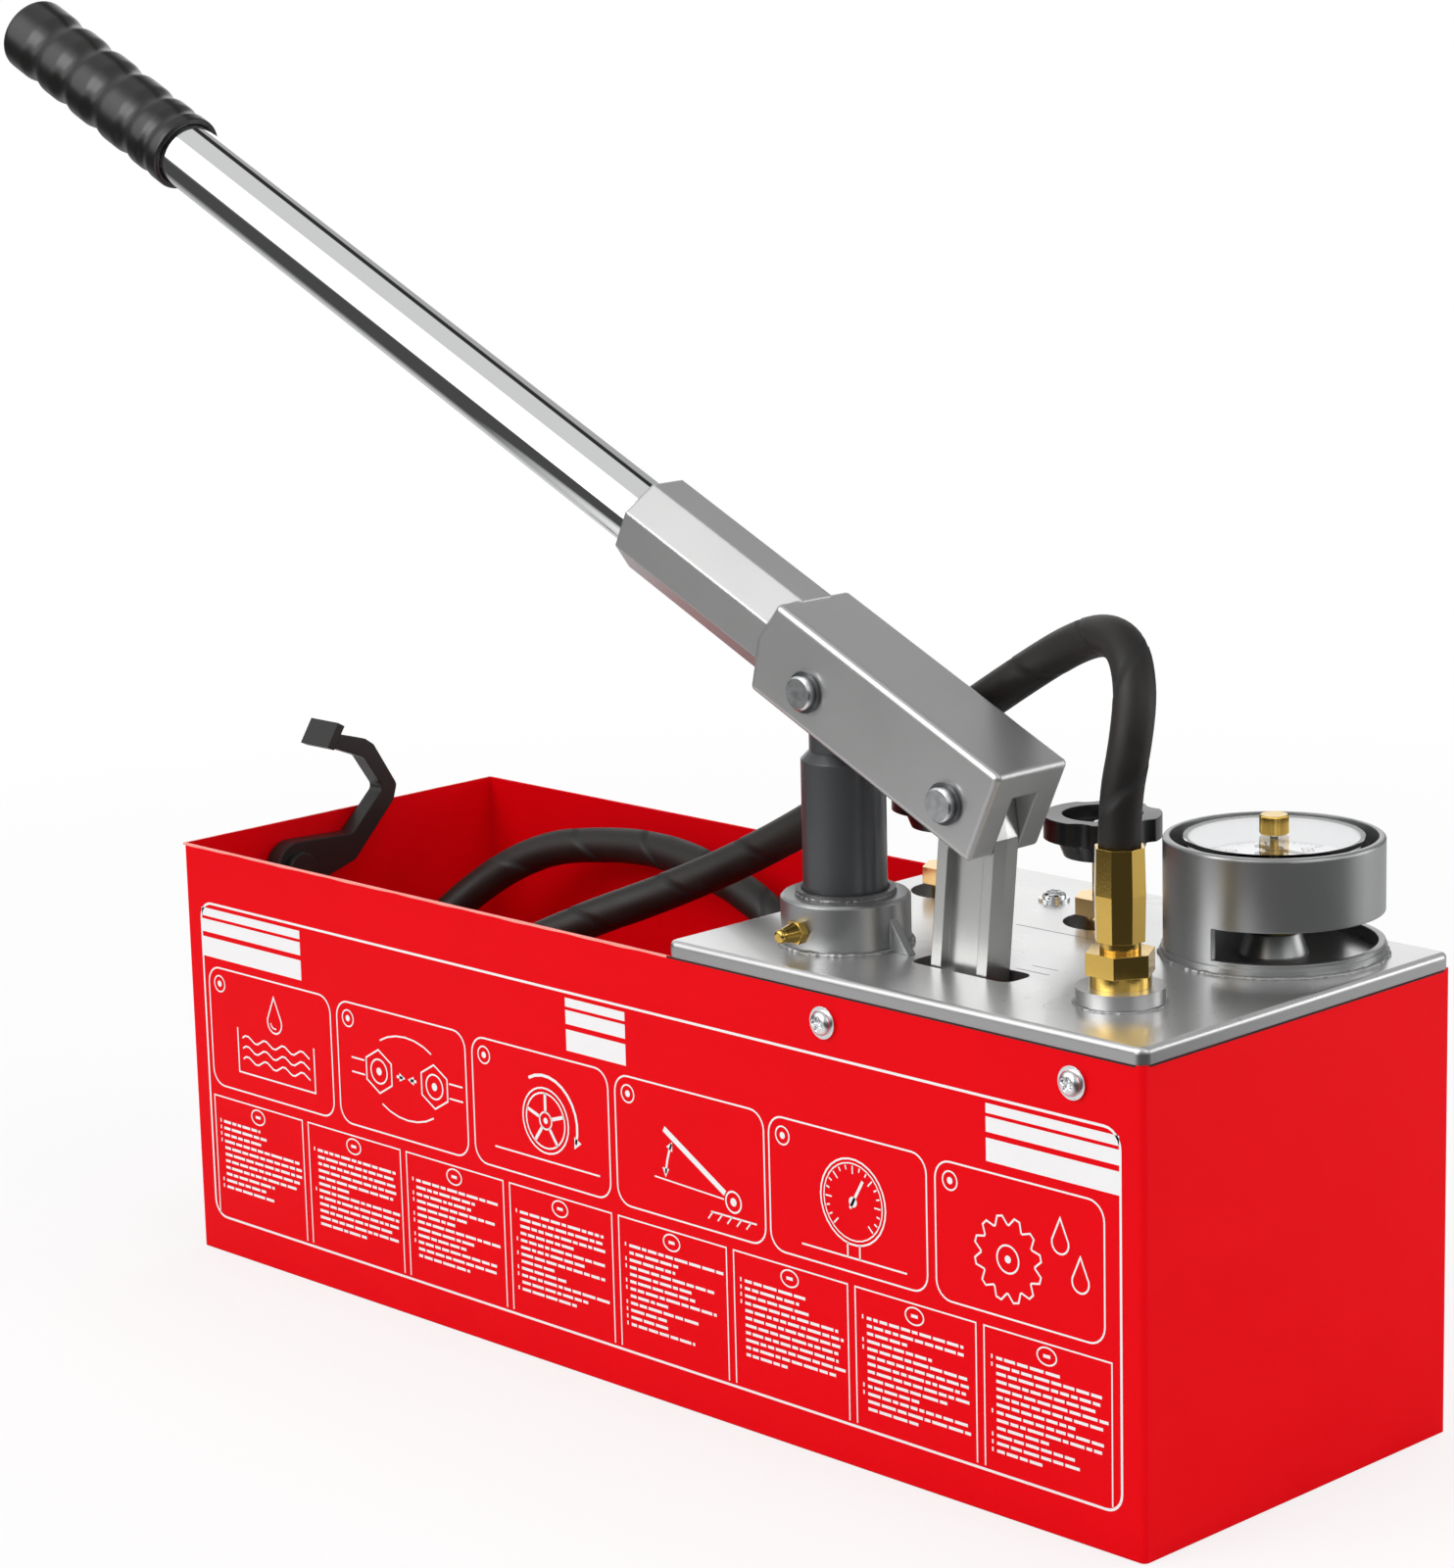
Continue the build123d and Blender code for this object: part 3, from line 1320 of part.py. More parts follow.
def hook_plane(x):
    """Plane across the tank at x, origin on the hook's pivot, local X along +Y, local Y up."""
    return Plane(origin=(x, hook_pivot_y, hook_pivot_z), x_dir=(0, 1, 0), z_dir=(1, 0, 0))


with BuildPart() as lever_hook:
    with BuildSketch(hook_plane(hook_left)) as hook_face:
        Polygon(*[(hook_size * along, hook_size * up) for along, up in hook_arm_shares])
        fillet(hook_face.vertices().group_by(Axis.X)[1:], radius=hook_bend_round)
        Circle(hook_eye_radius)
        Circle(hook_pin_radius + running_fit, mode=Mode.SUBTRACT)
    extrude(amount=hook_thickness)
    with BuildSketch(hook_plane(hook_mid)):
        Polygon(*[(hook_size * along, hook_size * up) for along, up in hook_pad_shares])
    extrude(amount=hook_pad_width / 2, both=True)
lever_hook.part.label = "lever_hook"
export_step(lever_hook.part, "parts/lever_hook.step")

with BuildPart() as hook_washer:
    with BuildSketch(hook_plane(-tank_end + tank_sheet)):
        Circle(hook_washer_radius)
        Circle(hook_pin_radius + seat_gap, mode=Mode.SUBTRACT)
    extrude(amount=hook_washer_thickness)
hook_washer.part.label = "hook_washer"
export_step(hook_washer.part, "parts/hook_washer.step")

with BuildPart() as hook_pin:
    with BuildSketch(hook_plane(-tank_end)):
        Circle(hook_pin_radius)
    extrude(amount=tank_sheet + hook_washer_thickness + 2 * seat_gap + hook_thickness)
    with BuildSketch(hook_plane(hook_left + hook_thickness + seat_gap)):
        Circle(hook_pin_head_radius)
    extrude(amount=hook_pin_head)
hook_pin.part.label = "hook_pin"
export_step(hook_pin.part, "parts/hook_pin.step")
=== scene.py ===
import json
import random
from math import ceil, cos, hypot, pi, radians, sin

import bpy
from mathutils import Matrix, Vector


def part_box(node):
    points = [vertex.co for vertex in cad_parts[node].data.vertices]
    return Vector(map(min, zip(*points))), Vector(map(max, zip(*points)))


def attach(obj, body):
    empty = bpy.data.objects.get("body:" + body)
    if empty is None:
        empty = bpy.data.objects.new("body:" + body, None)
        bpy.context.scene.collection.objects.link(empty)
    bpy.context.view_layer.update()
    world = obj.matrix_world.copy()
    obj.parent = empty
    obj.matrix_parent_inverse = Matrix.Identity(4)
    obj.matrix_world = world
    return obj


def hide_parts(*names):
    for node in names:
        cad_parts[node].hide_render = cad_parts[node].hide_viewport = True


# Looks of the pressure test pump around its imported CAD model. Lengths are in metres, in the model's frame.

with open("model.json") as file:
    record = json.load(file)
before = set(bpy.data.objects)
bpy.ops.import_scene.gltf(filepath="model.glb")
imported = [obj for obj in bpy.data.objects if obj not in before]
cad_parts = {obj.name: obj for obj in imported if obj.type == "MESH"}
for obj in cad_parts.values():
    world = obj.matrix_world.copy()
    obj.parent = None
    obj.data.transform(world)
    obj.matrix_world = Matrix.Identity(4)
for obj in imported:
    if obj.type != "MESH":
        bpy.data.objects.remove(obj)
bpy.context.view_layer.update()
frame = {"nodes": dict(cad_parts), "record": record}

mm = 0.001
front_y = -0.085
tank_top = 0.175
pump_centre = (0.0835, -0.043)
gauge_centre = (0.212, 0.0445)
outlet_centre = (0.215, -0.0435)
photo_height_px = 1600


def toward(azimuth, elevation):
    """Direction as a unit vector. Azimuth 0 is in front of the tank and 90 past the gauge."""
    az, el = radians(azimuth), radians(elevation)
    return (sin(az) * cos(el), -cos(az) * cos(el), sin(el))


def around(x, z, radius, angle, squash=1.0):
    """Point on a circle, or on an ellipse whose height is squashed."""
    return (x + radius * cos(angle), z + radius * squash * sin(angle))


def ring_quads(rows, count, start=0):
    """Corner numbers between rows of points that close on themselves: two of a row, two of the next one."""
    for row in range(rows - 1):
        for step in range(count):
            one, two = start + row * count + step, start + row * count + (step + 1) % count
            yield one, two, two + count, one + count


# Camera, lamps and backdrop
def camera_at(place, azimuth, elevation, roll, focal_px):
    """Camera with the photograph's direction, roll and focal length, which is in the photograph's pixels."""
    turn = radians(roll)
    back = Vector(toward(azimuth, elevation))
    right = (-back).cross(Vector((0, 0, 1))).normalized()
    up = right.cross(-back)
    across = cos(turn) * right + sin(turn) * up
    upward = -sin(turn) * right + cos(turn) * up
    data = bpy.data.cameras.new("camera")
    data.sensor_width = 36
    data.lens = focal_px * data.sensor_width / photo_height_px
    data.clip_end = 50
    cam = bpy.data.objects.new("camera", data)
    cam.matrix_world = Matrix.Translation(place) @ Matrix((across, upward, back)).transposed().to_4x4()
    bpy.context.scene.collection.objects.link(cam)
    bpy.context.scene.camera = cam


def lamp(name, place, target, size, power, mirrored=True):
    """Square area lamp aimed at a point, which shiny pieces mirror or not."""
    data = bpy.data.lights.new(name, "AREA")
    data.shape = "SQUARE"
    data.size = size
    data.energy = power
    item = bpy.data.objects.new(name, data)
    item.location = place
    item.rotation_euler = (Vector(target) - Vector(place)).to_track_quat("-Z", "Y").to_euler()
    item.visible_camera = False
    item.visible_glossy = mirrored
    bpy.context.scene.collection.objects.link(item)


camera_at((1.1335, -1.1199, 0.5633), azimuth=45.886, elevation=12.109, roll=-1.447, focal_px=4324.3)
bpy.context.scene.view_settings.view_transform = "Standard"
lamp("key", (-0.6, -2.2, 1.7), (0.0, 0.0, 0.15), size=1.6, power=30)
lamp("fill", (2.3, 0.1, 1.5), (0.1, 0.0, 0.15), size=1.5, power=9)
lamp("edge", (1.1, 1.25, 0.42), (0.2, 0.0, 0.2), size=0.7, power=4)
lamp("top", (0.1, 0.4, 2.3), (0.1, 0.0, 0.1), size=1.6, power=16, mirrored=False)


class Nodes:
    """Short way to write a node tree."""

    def __init__(self, tree):
        self.tree = tree

    def add(self, kind, values=None, **settings):
        node = self.tree.nodes.new(kind)
        for key, value in settings.items():
            setattr(node, key, value)
        for key, value in (values or {}).items():
            if isinstance(value, bpy.types.NodeSocket):
                self.tree.links.new(value, node.inputs[key])
            else:
                node.inputs[key].default_value = value
        return node

    def math(self, operation, *values):
        return self.add("ShaderNodeMath", dict(enumerate(values)), operation=operation).outputs[0]

    def vector(self, operation, values, output):
        node = self.add("ShaderNodeVectorMath", dict(enumerate(values)), operation=operation)
        return node.outputs[output]

    def ramp(self, value, low, high, to_low=0.0, to_high=1.0):
        node = self.add("ShaderNodeMapRange", {0: value, 1: low, 2: high, 3: to_low, 4: to_high})
        return node.outputs[0]

    def mix(self, factor, one, two):
        node = self.add("ShaderNodeMix", {0: factor, 6: one, 7: two}, data_type="RGBA")
        return node.outputs[2]


def rgb(r, g, b):
    return (r, g, b, 1.0)


def grey(level):
    return rgb(level, level, level)


def build_world():
    """White to the eye and plain light on everything. Shiny pieces mirror soft boxes between darker gaps."""
    world = bpy.data.worlds.new("studio")
    bpy.context.scene.world = world
    world.use_nodes = True
    world.node_tree.nodes.clear()
    n = Nodes(world.node_tree)
    direction = n.add("ShaderNodeTexCoord").outputs["Generated"]
    parts = n.add("ShaderNodeSeparateXYZ", {0: direction}).outputs
    height = parts["Z"]

    def soft_box(azimuth, elevation, inner, outer):
        """1 within the inner half-angle of a direction and 0 outside the outer one."""
        nearness = n.vector("DOT_PRODUCT", (direction, toward(azimuth, elevation)), "Value")
        return n.ramp(nearness, cos(radians(outer)), cos(radians(inner)))

    # Ceiling that gets darker to the back and down to the horizon, with a dark strip across it
    overhead = n.mix(n.ramp(parts["Y"], 0.42, 0.6), grey(0.68), grey(0.42))
    ceiling = n.mix(n.ramp(height, 0.08, 0.4), rgb(0.10, 0.10, 0.105), overhead)
    beside = n.math("ABSOLUTE", n.math("SUBTRACT", parts["Y"], 0.5))
    strip = n.math("MULTIPLY", n.ramp(beside, 0.11, 0.08), n.ramp(height, 0.5, 0.6))
    shown = n.mix(strip, ceiling, grey(0.03))
    # Soft boxes by azimuth, elevation, inner and outer half-angle in degrees, and brightness
    boxes = ((-22, 27, 33, 37, 1.8), (-5, 48, 16, 20, 1.8), (228, 4, 18, 26, 1.3), (121, 14, 13, 24, 1.0))
    for azimuth, elevation, inner, outer, bright in boxes:
        shown = n.mix(soft_box(azimuth, elevation, inner, outer), shown, grey(bright))
    path = n.add("ShaderNodeLightPath").outputs
    seen = n.add("ShaderNodeBackground", {"Color": grey(1.0), "Strength": 1.0}).outputs[0]
    glossy = n.add("ShaderNodeBackground", {"Color": shown, "Strength": 1.0}).outputs[0]
    plain = n.add("ShaderNodeBackground", {"Color": rgb(0.98, 0.99, 1.0), "Strength": 0.57}).outputs[0]
    first = n.add("ShaderNodeMixShader", {0: path["Is Glossy Ray"], 1: plain, 2: glossy}).outputs[0]
    clear = n.math("MAXIMUM", path["Is Camera Ray"], path["Is Transmission Ray"])
    second = n.add("ShaderNodeMixShader", {0: clear, 1: first, 2: seen}).outputs[0]
    n.add("ShaderNodeOutputWorld", {0: second})


def build_floor():
    """Pale floor that fades to white around the object and keeps its shadow. Shiny pieces mirror it darker
    away from the object, and less so behind it."""
    size, drop = 9.0, 0.0004
    mesh = bpy.data.meshes.new("floor")
    corners = [(-size, -size, 0), (size, -size, 0), (size, size, 0), (-size, size, 0)]
    mesh.from_pydata(corners, [], [(0, 1, 2, 3)])
    floor = bpy.data.objects.new("floor", mesh)
    floor.location.z = -drop
    bpy.context.scene.collection.objects.link(floor)
    material = bpy.data.materials.new("floor")
    material.use_nodes = True
    material.node_tree.nodes.clear()
    n = Nodes(material.node_tree)
    place = n.add("ShaderNodeTexCoord").outputs["Object"]
    distance = n.vector("LENGTH", (place,), "Value")
    aside = n.vector("DISTANCE", (place, (-0.25, -0.3, 0)), "Value")
    way = n.vector("NORMALIZE", (place,), "Vector")
    front = n.vector("DOT_PRODUCT", (way, toward(15, 0)), "Value")
    path = n.add("ShaderNodeLightPath").outputs
    clear = n.math("MAXIMUM", path["Is Camera Ray"], path["Is Transmission Ray"])
    fade = n.math("MULTIPLY", clear, n.ramp(distance, 0.45, 1.3, 0.76, 1.0))
    dark = n.math("MULTIPLY", n.ramp(aside, 0.4, 0.62), n.ramp(front, -0.45, -0.1, 0.3, 1.0))
    fade_mirrored = n.math("MULTIPLY", path["Is Glossy Ray"], dark)
    base = n.add("ShaderNodeBsdfDiffuse", {"Color": grey(0.86)}).outputs[0]
    white = n.add("ShaderNodeEmission", {"Color": grey(1.0), "Strength": 1.0}).outputs[0]
    mirrored = n.add("ShaderNodeEmission", {"Color": grey(0.07), "Strength": 1.0}).outputs[0]
    first = n.add("ShaderNodeMixShader", {0: fade_mirrored, 1: base, 2: mirrored}).outputs[0]
    shader = n.add("ShaderNodeMixShader", {0: fade, 1: first, 2: white}).outputs[0]
    n.add("ShaderNodeOutputMaterial", {0: shader})
    mesh.materials.append(material)


build_world()
build_floor()


# Materials
paints = {}


def finish(
    name, colour, rough, metal=0.0, grain=1200.0, bump=0.05, tone=0.06, blotch=40.0, uneven=0.1,
    worn=None, edge=0.0, side=None, **sockets,
):
    """Adds a Principled material to the paints. Its colour varies with two scales of noise by the share tone,
    its roughness with the broad one by the share uneven, and the fine one gives the bump. worn is
    (colour, amount) for specks of wear, edge the radius at which edges look rounded, and side a darker colour
    for faces that don't look up, as painted shade. Other values go to the shader's sockets of that name."""
    material = bpy.data.materials.new(name)
    material.use_nodes = True
    material.node_tree.nodes.clear()
    n = Nodes(material.node_tree)
    place = n.add("ShaderNodeTexCoord").outputs["Object"]
    fine = n.add("ShaderNodeTexNoise", {"Vector": place, "Scale": grain, "Detail": 3.0}).outputs[0]
    broad = n.add("ShaderNodeTexNoise", {"Vector": place, "Scale": blotch, "Detail": 4.0}).outputs[0]
    light = tuple(min(1.0, c * (1 + tone)) for c in colour)
    dark = tuple(c * (1 - tone) for c in colour)
    both = n.math("ADD", n.math("MULTIPLY", fine, 0.4), n.math("MULTIPLY", broad, 0.6))
    paint = n.mix(n.ramp(both, 0.3, 0.7), rgb(*dark), rgb(*light))
    if worn:
        wear = n.add("ShaderNodeTexNoise", {"Vector": place, "Scale": 260.0, "Detail": 6.0}).outputs[0]
        specks = n.ramp(wear, 0.66, 0.7)
        paint = n.mix(n.math("MULTIPLY", specks, worn[1]), paint, rgb(*worn[0]))
    # Painted shade: faces that don't look up take the darker side colour.
    if side:
        facing = n.add("ShaderNodeNewGeometry").outputs["True Normal"]
        level = n.add("ShaderNodeSeparateXYZ", {0: facing}).outputs["Z"]
        paint = n.mix(n.ramp(level, 0.3, 0.75), rgb(*side), paint)
    roughness = n.ramp(broad, 0.3, 0.7, rough * (1 - uneven), rough * (1 + uneven))
    relief_values = {"Height": fine, "Strength": bump, "Distance": 0.0002}
    if edge:
        relief_values["Normal"] = n.add("ShaderNodeBevel", {"Radius": edge}, samples=4).outputs[0]
    relief = n.add("ShaderNodeBump", relief_values).outputs[0]
    values = {"Base Color": paint, "Roughness": roughness, "Metallic": metal, "Normal": relief}
    shader = n.add("ShaderNodeBsdfPrincipled", values)
    for key, value in sockets.items():
        shader.inputs[key.replace("_", " ").title().replace("Ior", "IOR")].default_value = value
    n.add("ShaderNodeOutputMaterial", {0: shader.outputs[0]})
    paints[name] = material


finish(
    "red_coat", (0.8, 0.0015, 0.006), 0.36, grain=900, bump=0.03, tone=0.025, edge=0.0009,
    specular_ior_level=0.04,
)
# Pale red for the painted highlight along the tank's rim.
finish("red_edge", (0.95, 0.32, 0.27), 0.4, bump=0.05, tone=0.1, blotch=120)
finish(
    "silver_paint", (0.345, 0.35, 0.35), 0.32, 0.85, grain=1100, bump=0.015, tone=0.04, uneven=0.03,
    edge=0.0009,
)
# Plate: side is painted shade on the faces that don't look up, such as its edges.
finish(
    "plate_silver", (0.72, 0.72, 0.715), 0.3, 0.9, bump=0.02, tone=0.05, blotch=25,
    worn=((0.34, 0.34, 0.34), 0.35), edge=0.0004, side=(0.4, 0.4, 0.4), coat_weight=0.2, coat_roughness=0.05,
)
finish(
    "grey_casting", (0.49, 0.492, 0.488), 0.3, 0.75, grain=1300, bump=0.02, tone=0.03, uneven=0.02,
    edge=0.0012,
)
finish("link_silver", (0.56, 0.56, 0.55), 0.28, 0.95, bump=0.01, tone=0.03, uneven=0.02, edge=0.0005)
finish("weld_silver", (0.3, 0.3, 0.3), 0.42, 0.7, grain=700, bump=0.1, tone=0.1)
finish("plain_steel", (0.42, 0.42, 0.43), 0.4, 0.9, bump=0.08, tone=0.1, edge=0.0005)
finish("dark_steel", (0.085, 0.088, 0.093), 0.3, 0.5, bump=0.03, tone=0.06, edge=0.0005)
finish("rough_ring", (0.2, 0.2, 0.2), 0.42, 0.8, grain=500, bump=0.9, tone=0.4)
finish("bright_steel", (0.72, 0.72, 0.73), 0.12, 1.0, bump=0.01, tone=0.03)
finish("pipe_steel", (0.48, 0.48, 0.5), 0.3, 1.0, bump=0.05, tone=0.06)
finish("zinc", (0.74, 0.76, 0.77), 0.24, 1.0, grain=600, bump=0.03, tone=0.08, blotch=300, edge=0.0002)
finish("chrome_tube", (0.87, 0.875, 0.88), 0.05, 1.0, bump=0.0, tone=0.01)
finish("brass", (0.62, 0.41, 0.1), 0.13, 1.0, grain=900, bump=0.04, tone=0.08, edge=0.0003)
finish("pale_brass", (0.86, 0.56, 0.24), 0.22, 1.0, grain=900, bump=0.05, tone=0.08, edge=0.0004)
finish("packing_rubber", (0.02, 0.02, 0.02), 0.6, bump=0.2)
finish("grip_rubber", (0.0095, 0.009, 0.0085), 0.3, grain=2500, bump=0.06, tone=0.15)
finish(
    "hose_rubber", (0.0125, 0.0105, 0.009), 0.5, grain=3000, bump=0.22, tone=0.3, blotch=90,
    specular_ior_level=0.32,
)
# Near black for painted shade: the step of the hose's wrap and the line under the plate's edge.
finish("wrap_edge", (0.004, 0.004, 0.004), 0.7, bump=0.1)
finish("black_plastic", (0.008, 0.008, 0.0085), 0.28, grain=900, bump=0.08, edge=0.0006)
finish("black_case", (0.02, 0.02, 0.021), 0.35, bump=0.08, tone=0.1)
finish("dial_white", (0.94, 0.94, 0.95), 0.45, bump=0.01, tone=0.02)
finish("hand_black", (0.02, 0.02, 0.02), 0.4, bump=0.02)
finish("clear_lens", (0.97, 0.975, 0.98), 0.02, bump=0.0, tone=0.0, transmission_weight=1.0, ior=1.42)
finish(
    "hook_black", (0.011, 0.0105, 0.01), 0.36, grain=1100, bump=0.08, edge=0.0008,
    specular_ior_level=0.35,
)
finish("print_white", (0.88, 0.88, 0.88), 0.4, bump=0.02, tone=0.02)
finish("print_grey", (0.16, 0.16, 0.17), 0.5, bump=0.02, tone=0.05)

node_paints = {
    "pump_plate": "plate_silver", "plug_welds": "plate_silver", "hose_boss": "plate_silver",
    "link": "link_silver", "link_bracket": "plain_steel", "plunger_wiper": "rough_ring",
    "release_gland_nut": "pale_brass", "shutoff_gland_nut": "pale_brass", "grease_nipple": "brass",
    "hook_washer": "hook_black", "hook_pin": "hook_black", "pin_clips": "dark_steel",
}
for part in frame["record"]["subparts"]:
    node = frame["nodes"][part["node"]]
    paint = paints[node_paints.get(part["node"], part["material_slot"])]
    node.data.materials.clear()
    node.data.materials.append(paint)


# Mesh pieces
def piece(name, points, faces, paint, body="base", smooth=False, slots=()):
    """Mesh piece that rides on a body. slots has the material number of each face where there are several."""
    mesh = bpy.data.meshes.new(name)
    mesh.from_pydata(points, [], faces)
    names = [paint] if isinstance(paint, str) else paint
    for entry in names:
        mesh.materials.append(paints[entry])
    for number, face in zip(slots, mesh.polygons):
        face.material_index = number
    mesh.update()
    if smooth:
        mesh.shade_smooth()
    item = bpy.data.objects.new(name, mesh)
    bpy.context.scene.collection.objects.link(item)
    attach(item, body)
    return item


# Hose
hose_route = [
    (0.215, -0.0435, 0.236), (0.215, -0.0435, 0.252), (0.2185, -0.0415, 0.272), (0.216, -0.0355, 0.291),
    (0.202, -0.025, 0.304), (0.176, -0.014, 0.301), (0.136, -0.0085, 0.279), (0.082, -0.005, 0.245),
    (0.023, -0.005, 0.207), (-0.030, -0.013, 0.1795), (-0.080, -0.033, 0.158), (-0.112, -0.053, 0.139),
    (-0.140, -0.068, 0.119), (-0.172, -0.075, 0.098), (-0.207, -0.070, 0.082), (-0.235, -0.050, 0.076),
    (-0.249, -0.019, 0.082), (-0.249, 0.015, 0.101), (-0.233, 0.043, 0.132), (-0.200, 0.059, 0.156),
    (-0.157, 0.065, 0.163), (-0.118, 0.063, 0.165), (-0.078, 0.056, 0.160), (-0.042, 0.049, 0.150),
    (-0.008, 0.046, 0.126), (0.026, 0.045, 0.093), (0.058, 0.0455, 0.060), (0.089, 0.046, 0.029),
    (0.121, 0.046, 0.0153), (0.156, 0.046, 0.0153),
]
hose_radius = 0.0075


def spline_points(points):
    """Points along the smooth curve that has these as its control points."""
    data = bpy.data.curves.new("route", "CURVE")
    data.dimensions = "3D"
    data.resolution_u = 10
    spline = data.splines.new("NURBS")
    spline.points.add(len(points) - 1)
    for point, place in zip(spline.points, points):
        point.co = (*place, 1.0)
    spline.order_u = 3
    spline.use_endpoint_u = True
    holder = bpy.data.objects.new("route", data)
    mesh = bpy.data.meshes.new_from_object(holder)
    line = [vertex.co.copy() for vertex in mesh.vertices]
    bpy.data.objects.remove(holder)
    bpy.data.curves.remove(data)
    bpy.data.meshes.remove(mesh)
    return line


class Path:
    """A line of points with a frame that turns along it without twist."""

    def __init__(self, points):
        self.points = points
        self.along = [0.0]
        for one, two in zip(points, points[1:]):
            self.along.append(self.along[-1] + (two - one).length)
        self.length = self.along[-1]
        tangents = []
        for i in range(len(points)):
            tangents.append((points[min(i + 1, len(points) - 1)] - points[max(i - 1, 0)]).normalized())
        aslant = Vector((0.3, 0.5, 0.8))
        side = tangents[0].cross(aslant).normalized()
        self.frames = []
        for tangent in tangents:
            side = (side - tangent * side.dot(tangent)).normalized()
            self.frames.append((side, tangent.cross(side)))

    def at(self, distance, angle, radius):
        """Point at so far along, so far round and so far out."""
        distance = min(max(distance, 0.0), self.length)
        low, high = 0, len(self.along) - 1
        while high - low > 1:
            half = (low + high) // 2
            low, high = (half, high) if self.along[half] <= distance else (low, half)
        share = (distance - self.along[low]) / max(self.along[high] - self.along[low], 1e-9)
        centre = self.points[low].lerp(self.points[high], share)
        side = self.frames[low][0].lerp(self.frames[high][0], share).normalized()
        over = self.frames[low][1].lerp(self.frames[high][1], share).normalized()
        return centre + radius * (cos(angle) * side + sin(angle) * over)


def build_hose():
    """Cloth-wrapped hose: rings slant with the wrap, whose edge is a small step that winds along the hose. A
    narrow dark strip in the step is painted shade.
    """
    path = Path(spline_points(hose_route))
    sides, rings_per_turn, pitch, step = 36, 12, 0.042, 0.00016
    groove_share, groove = 0.012, 1.6 * step
    turns = ceil(path.length / pitch) + 1
    points, faces, slots = [], [], []
    rows = []
    for turn in range(-1, turns):
        for ring in range(rings_per_turn + 1):
            share = ring / rings_per_turn if ring else groove_share
            drop = step * (1 - share) if ring else groove
            row = []
            for side in range(sides + 1):
                angle = 2 * pi * side / sides
                distance = (turn + share + side / sides) * pitch
                points.append(path.at(distance, angle, hose_radius - drop))
                row.append(len(points) - 1)
            rows.append((row, ring))
    for (one, ring_one), (two, ring_two) in zip(rows, rows[1:]):
        for side in range(sides):
            faces.append((one[side], one[side + 1], two[side + 1], two[side]))
            # Faces at the step get the near-black material, painted shade in the wrap's step.
            slots.append(1 if 0 in (ring_one, ring_two) else 0)
    hose = piece("hose_cloth", points, faces, ["hose_rubber", "wrap_edge"], smooth=True, slots=slots)
    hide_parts("pressure_hose")


build_hose()


# Grip
def build_grip():
    """Rubber grip with soft finger grooves that lean a little, a rounded cap and a lip at the open end."""
    low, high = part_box("lever_grip")
    middle = (Vector(low) + Vector(high)) / 2
    away = Vector((-0.9063, 0.0, 0.4226))  # along the lever's tube, which rises by 25 degrees
    side = Vector((0, -1, 0))
    over = side.cross(away)
    # Places along the tube from the grip's middle, and sizes
    reach, bore, mouth, cap = 0.0161, 0.0135, -0.0574, 0.0574
    inner_lip, outer_lip, corner = 0.0006, 0.0012, 0.0028
    lean, lean_turn = 0.0022, 0.6
    # Grooves by place, half width and depth
    grooves = ((-0.0465, 0.0045, 0.0009), (-0.0310, 0.0065, 0.0012), (-0.0080, 0.0075, 0.0013),
               (0.0145, 0.0075, 0.0013), (0.0365, 0.0075, 0.0013))
    profile = [(mouth + 0.006, bore), (mouth + inner_lip, bore), (mouth, bore + inner_lip)]
    for step in range(6, -1, -1):
        turn = radians(15 * step)
        profile.append((mouth + outer_lip * (1 - sin(turn)), reach - outer_lip * (1 - cos(turn))))
    profile += [(mouth + 0.0018 + 0.0008 * step, reach) for step in range(138)]
    for step in range(1, 9):
        turn = radians(11.25 * step)
        profile.append((cap - corner * (1 - sin(turn)), reach - corner * (1 - cos(turn))))
    profile += [(cap, 0.008), (cap, 0.0)]
    sides = 72
    points = []
    for along, wide in profile:
        for step in range(sides):
            angle = 2 * pi * step / sides
            radius = wide
            for place, half, depth in grooves:
                gap = abs(along - place - lean * sin(angle - lean_turn)) / half
                if gap < 1 and wide > reach - 0.0002:
                    radius -= depth * 0.5 * (1 + cos(pi * gap))
            points.append(tuple(middle + along * away + radius * (cos(angle) * side + sin(angle) * over)))
    faces = [(a, d, c, b) for a, b, c, d in ring_quads(len(profile), sides)]
    grip = piece("finger_grip", points, faces, "grip_rubber", "lever", smooth=True)
    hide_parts("lever_grip")


build_grip()


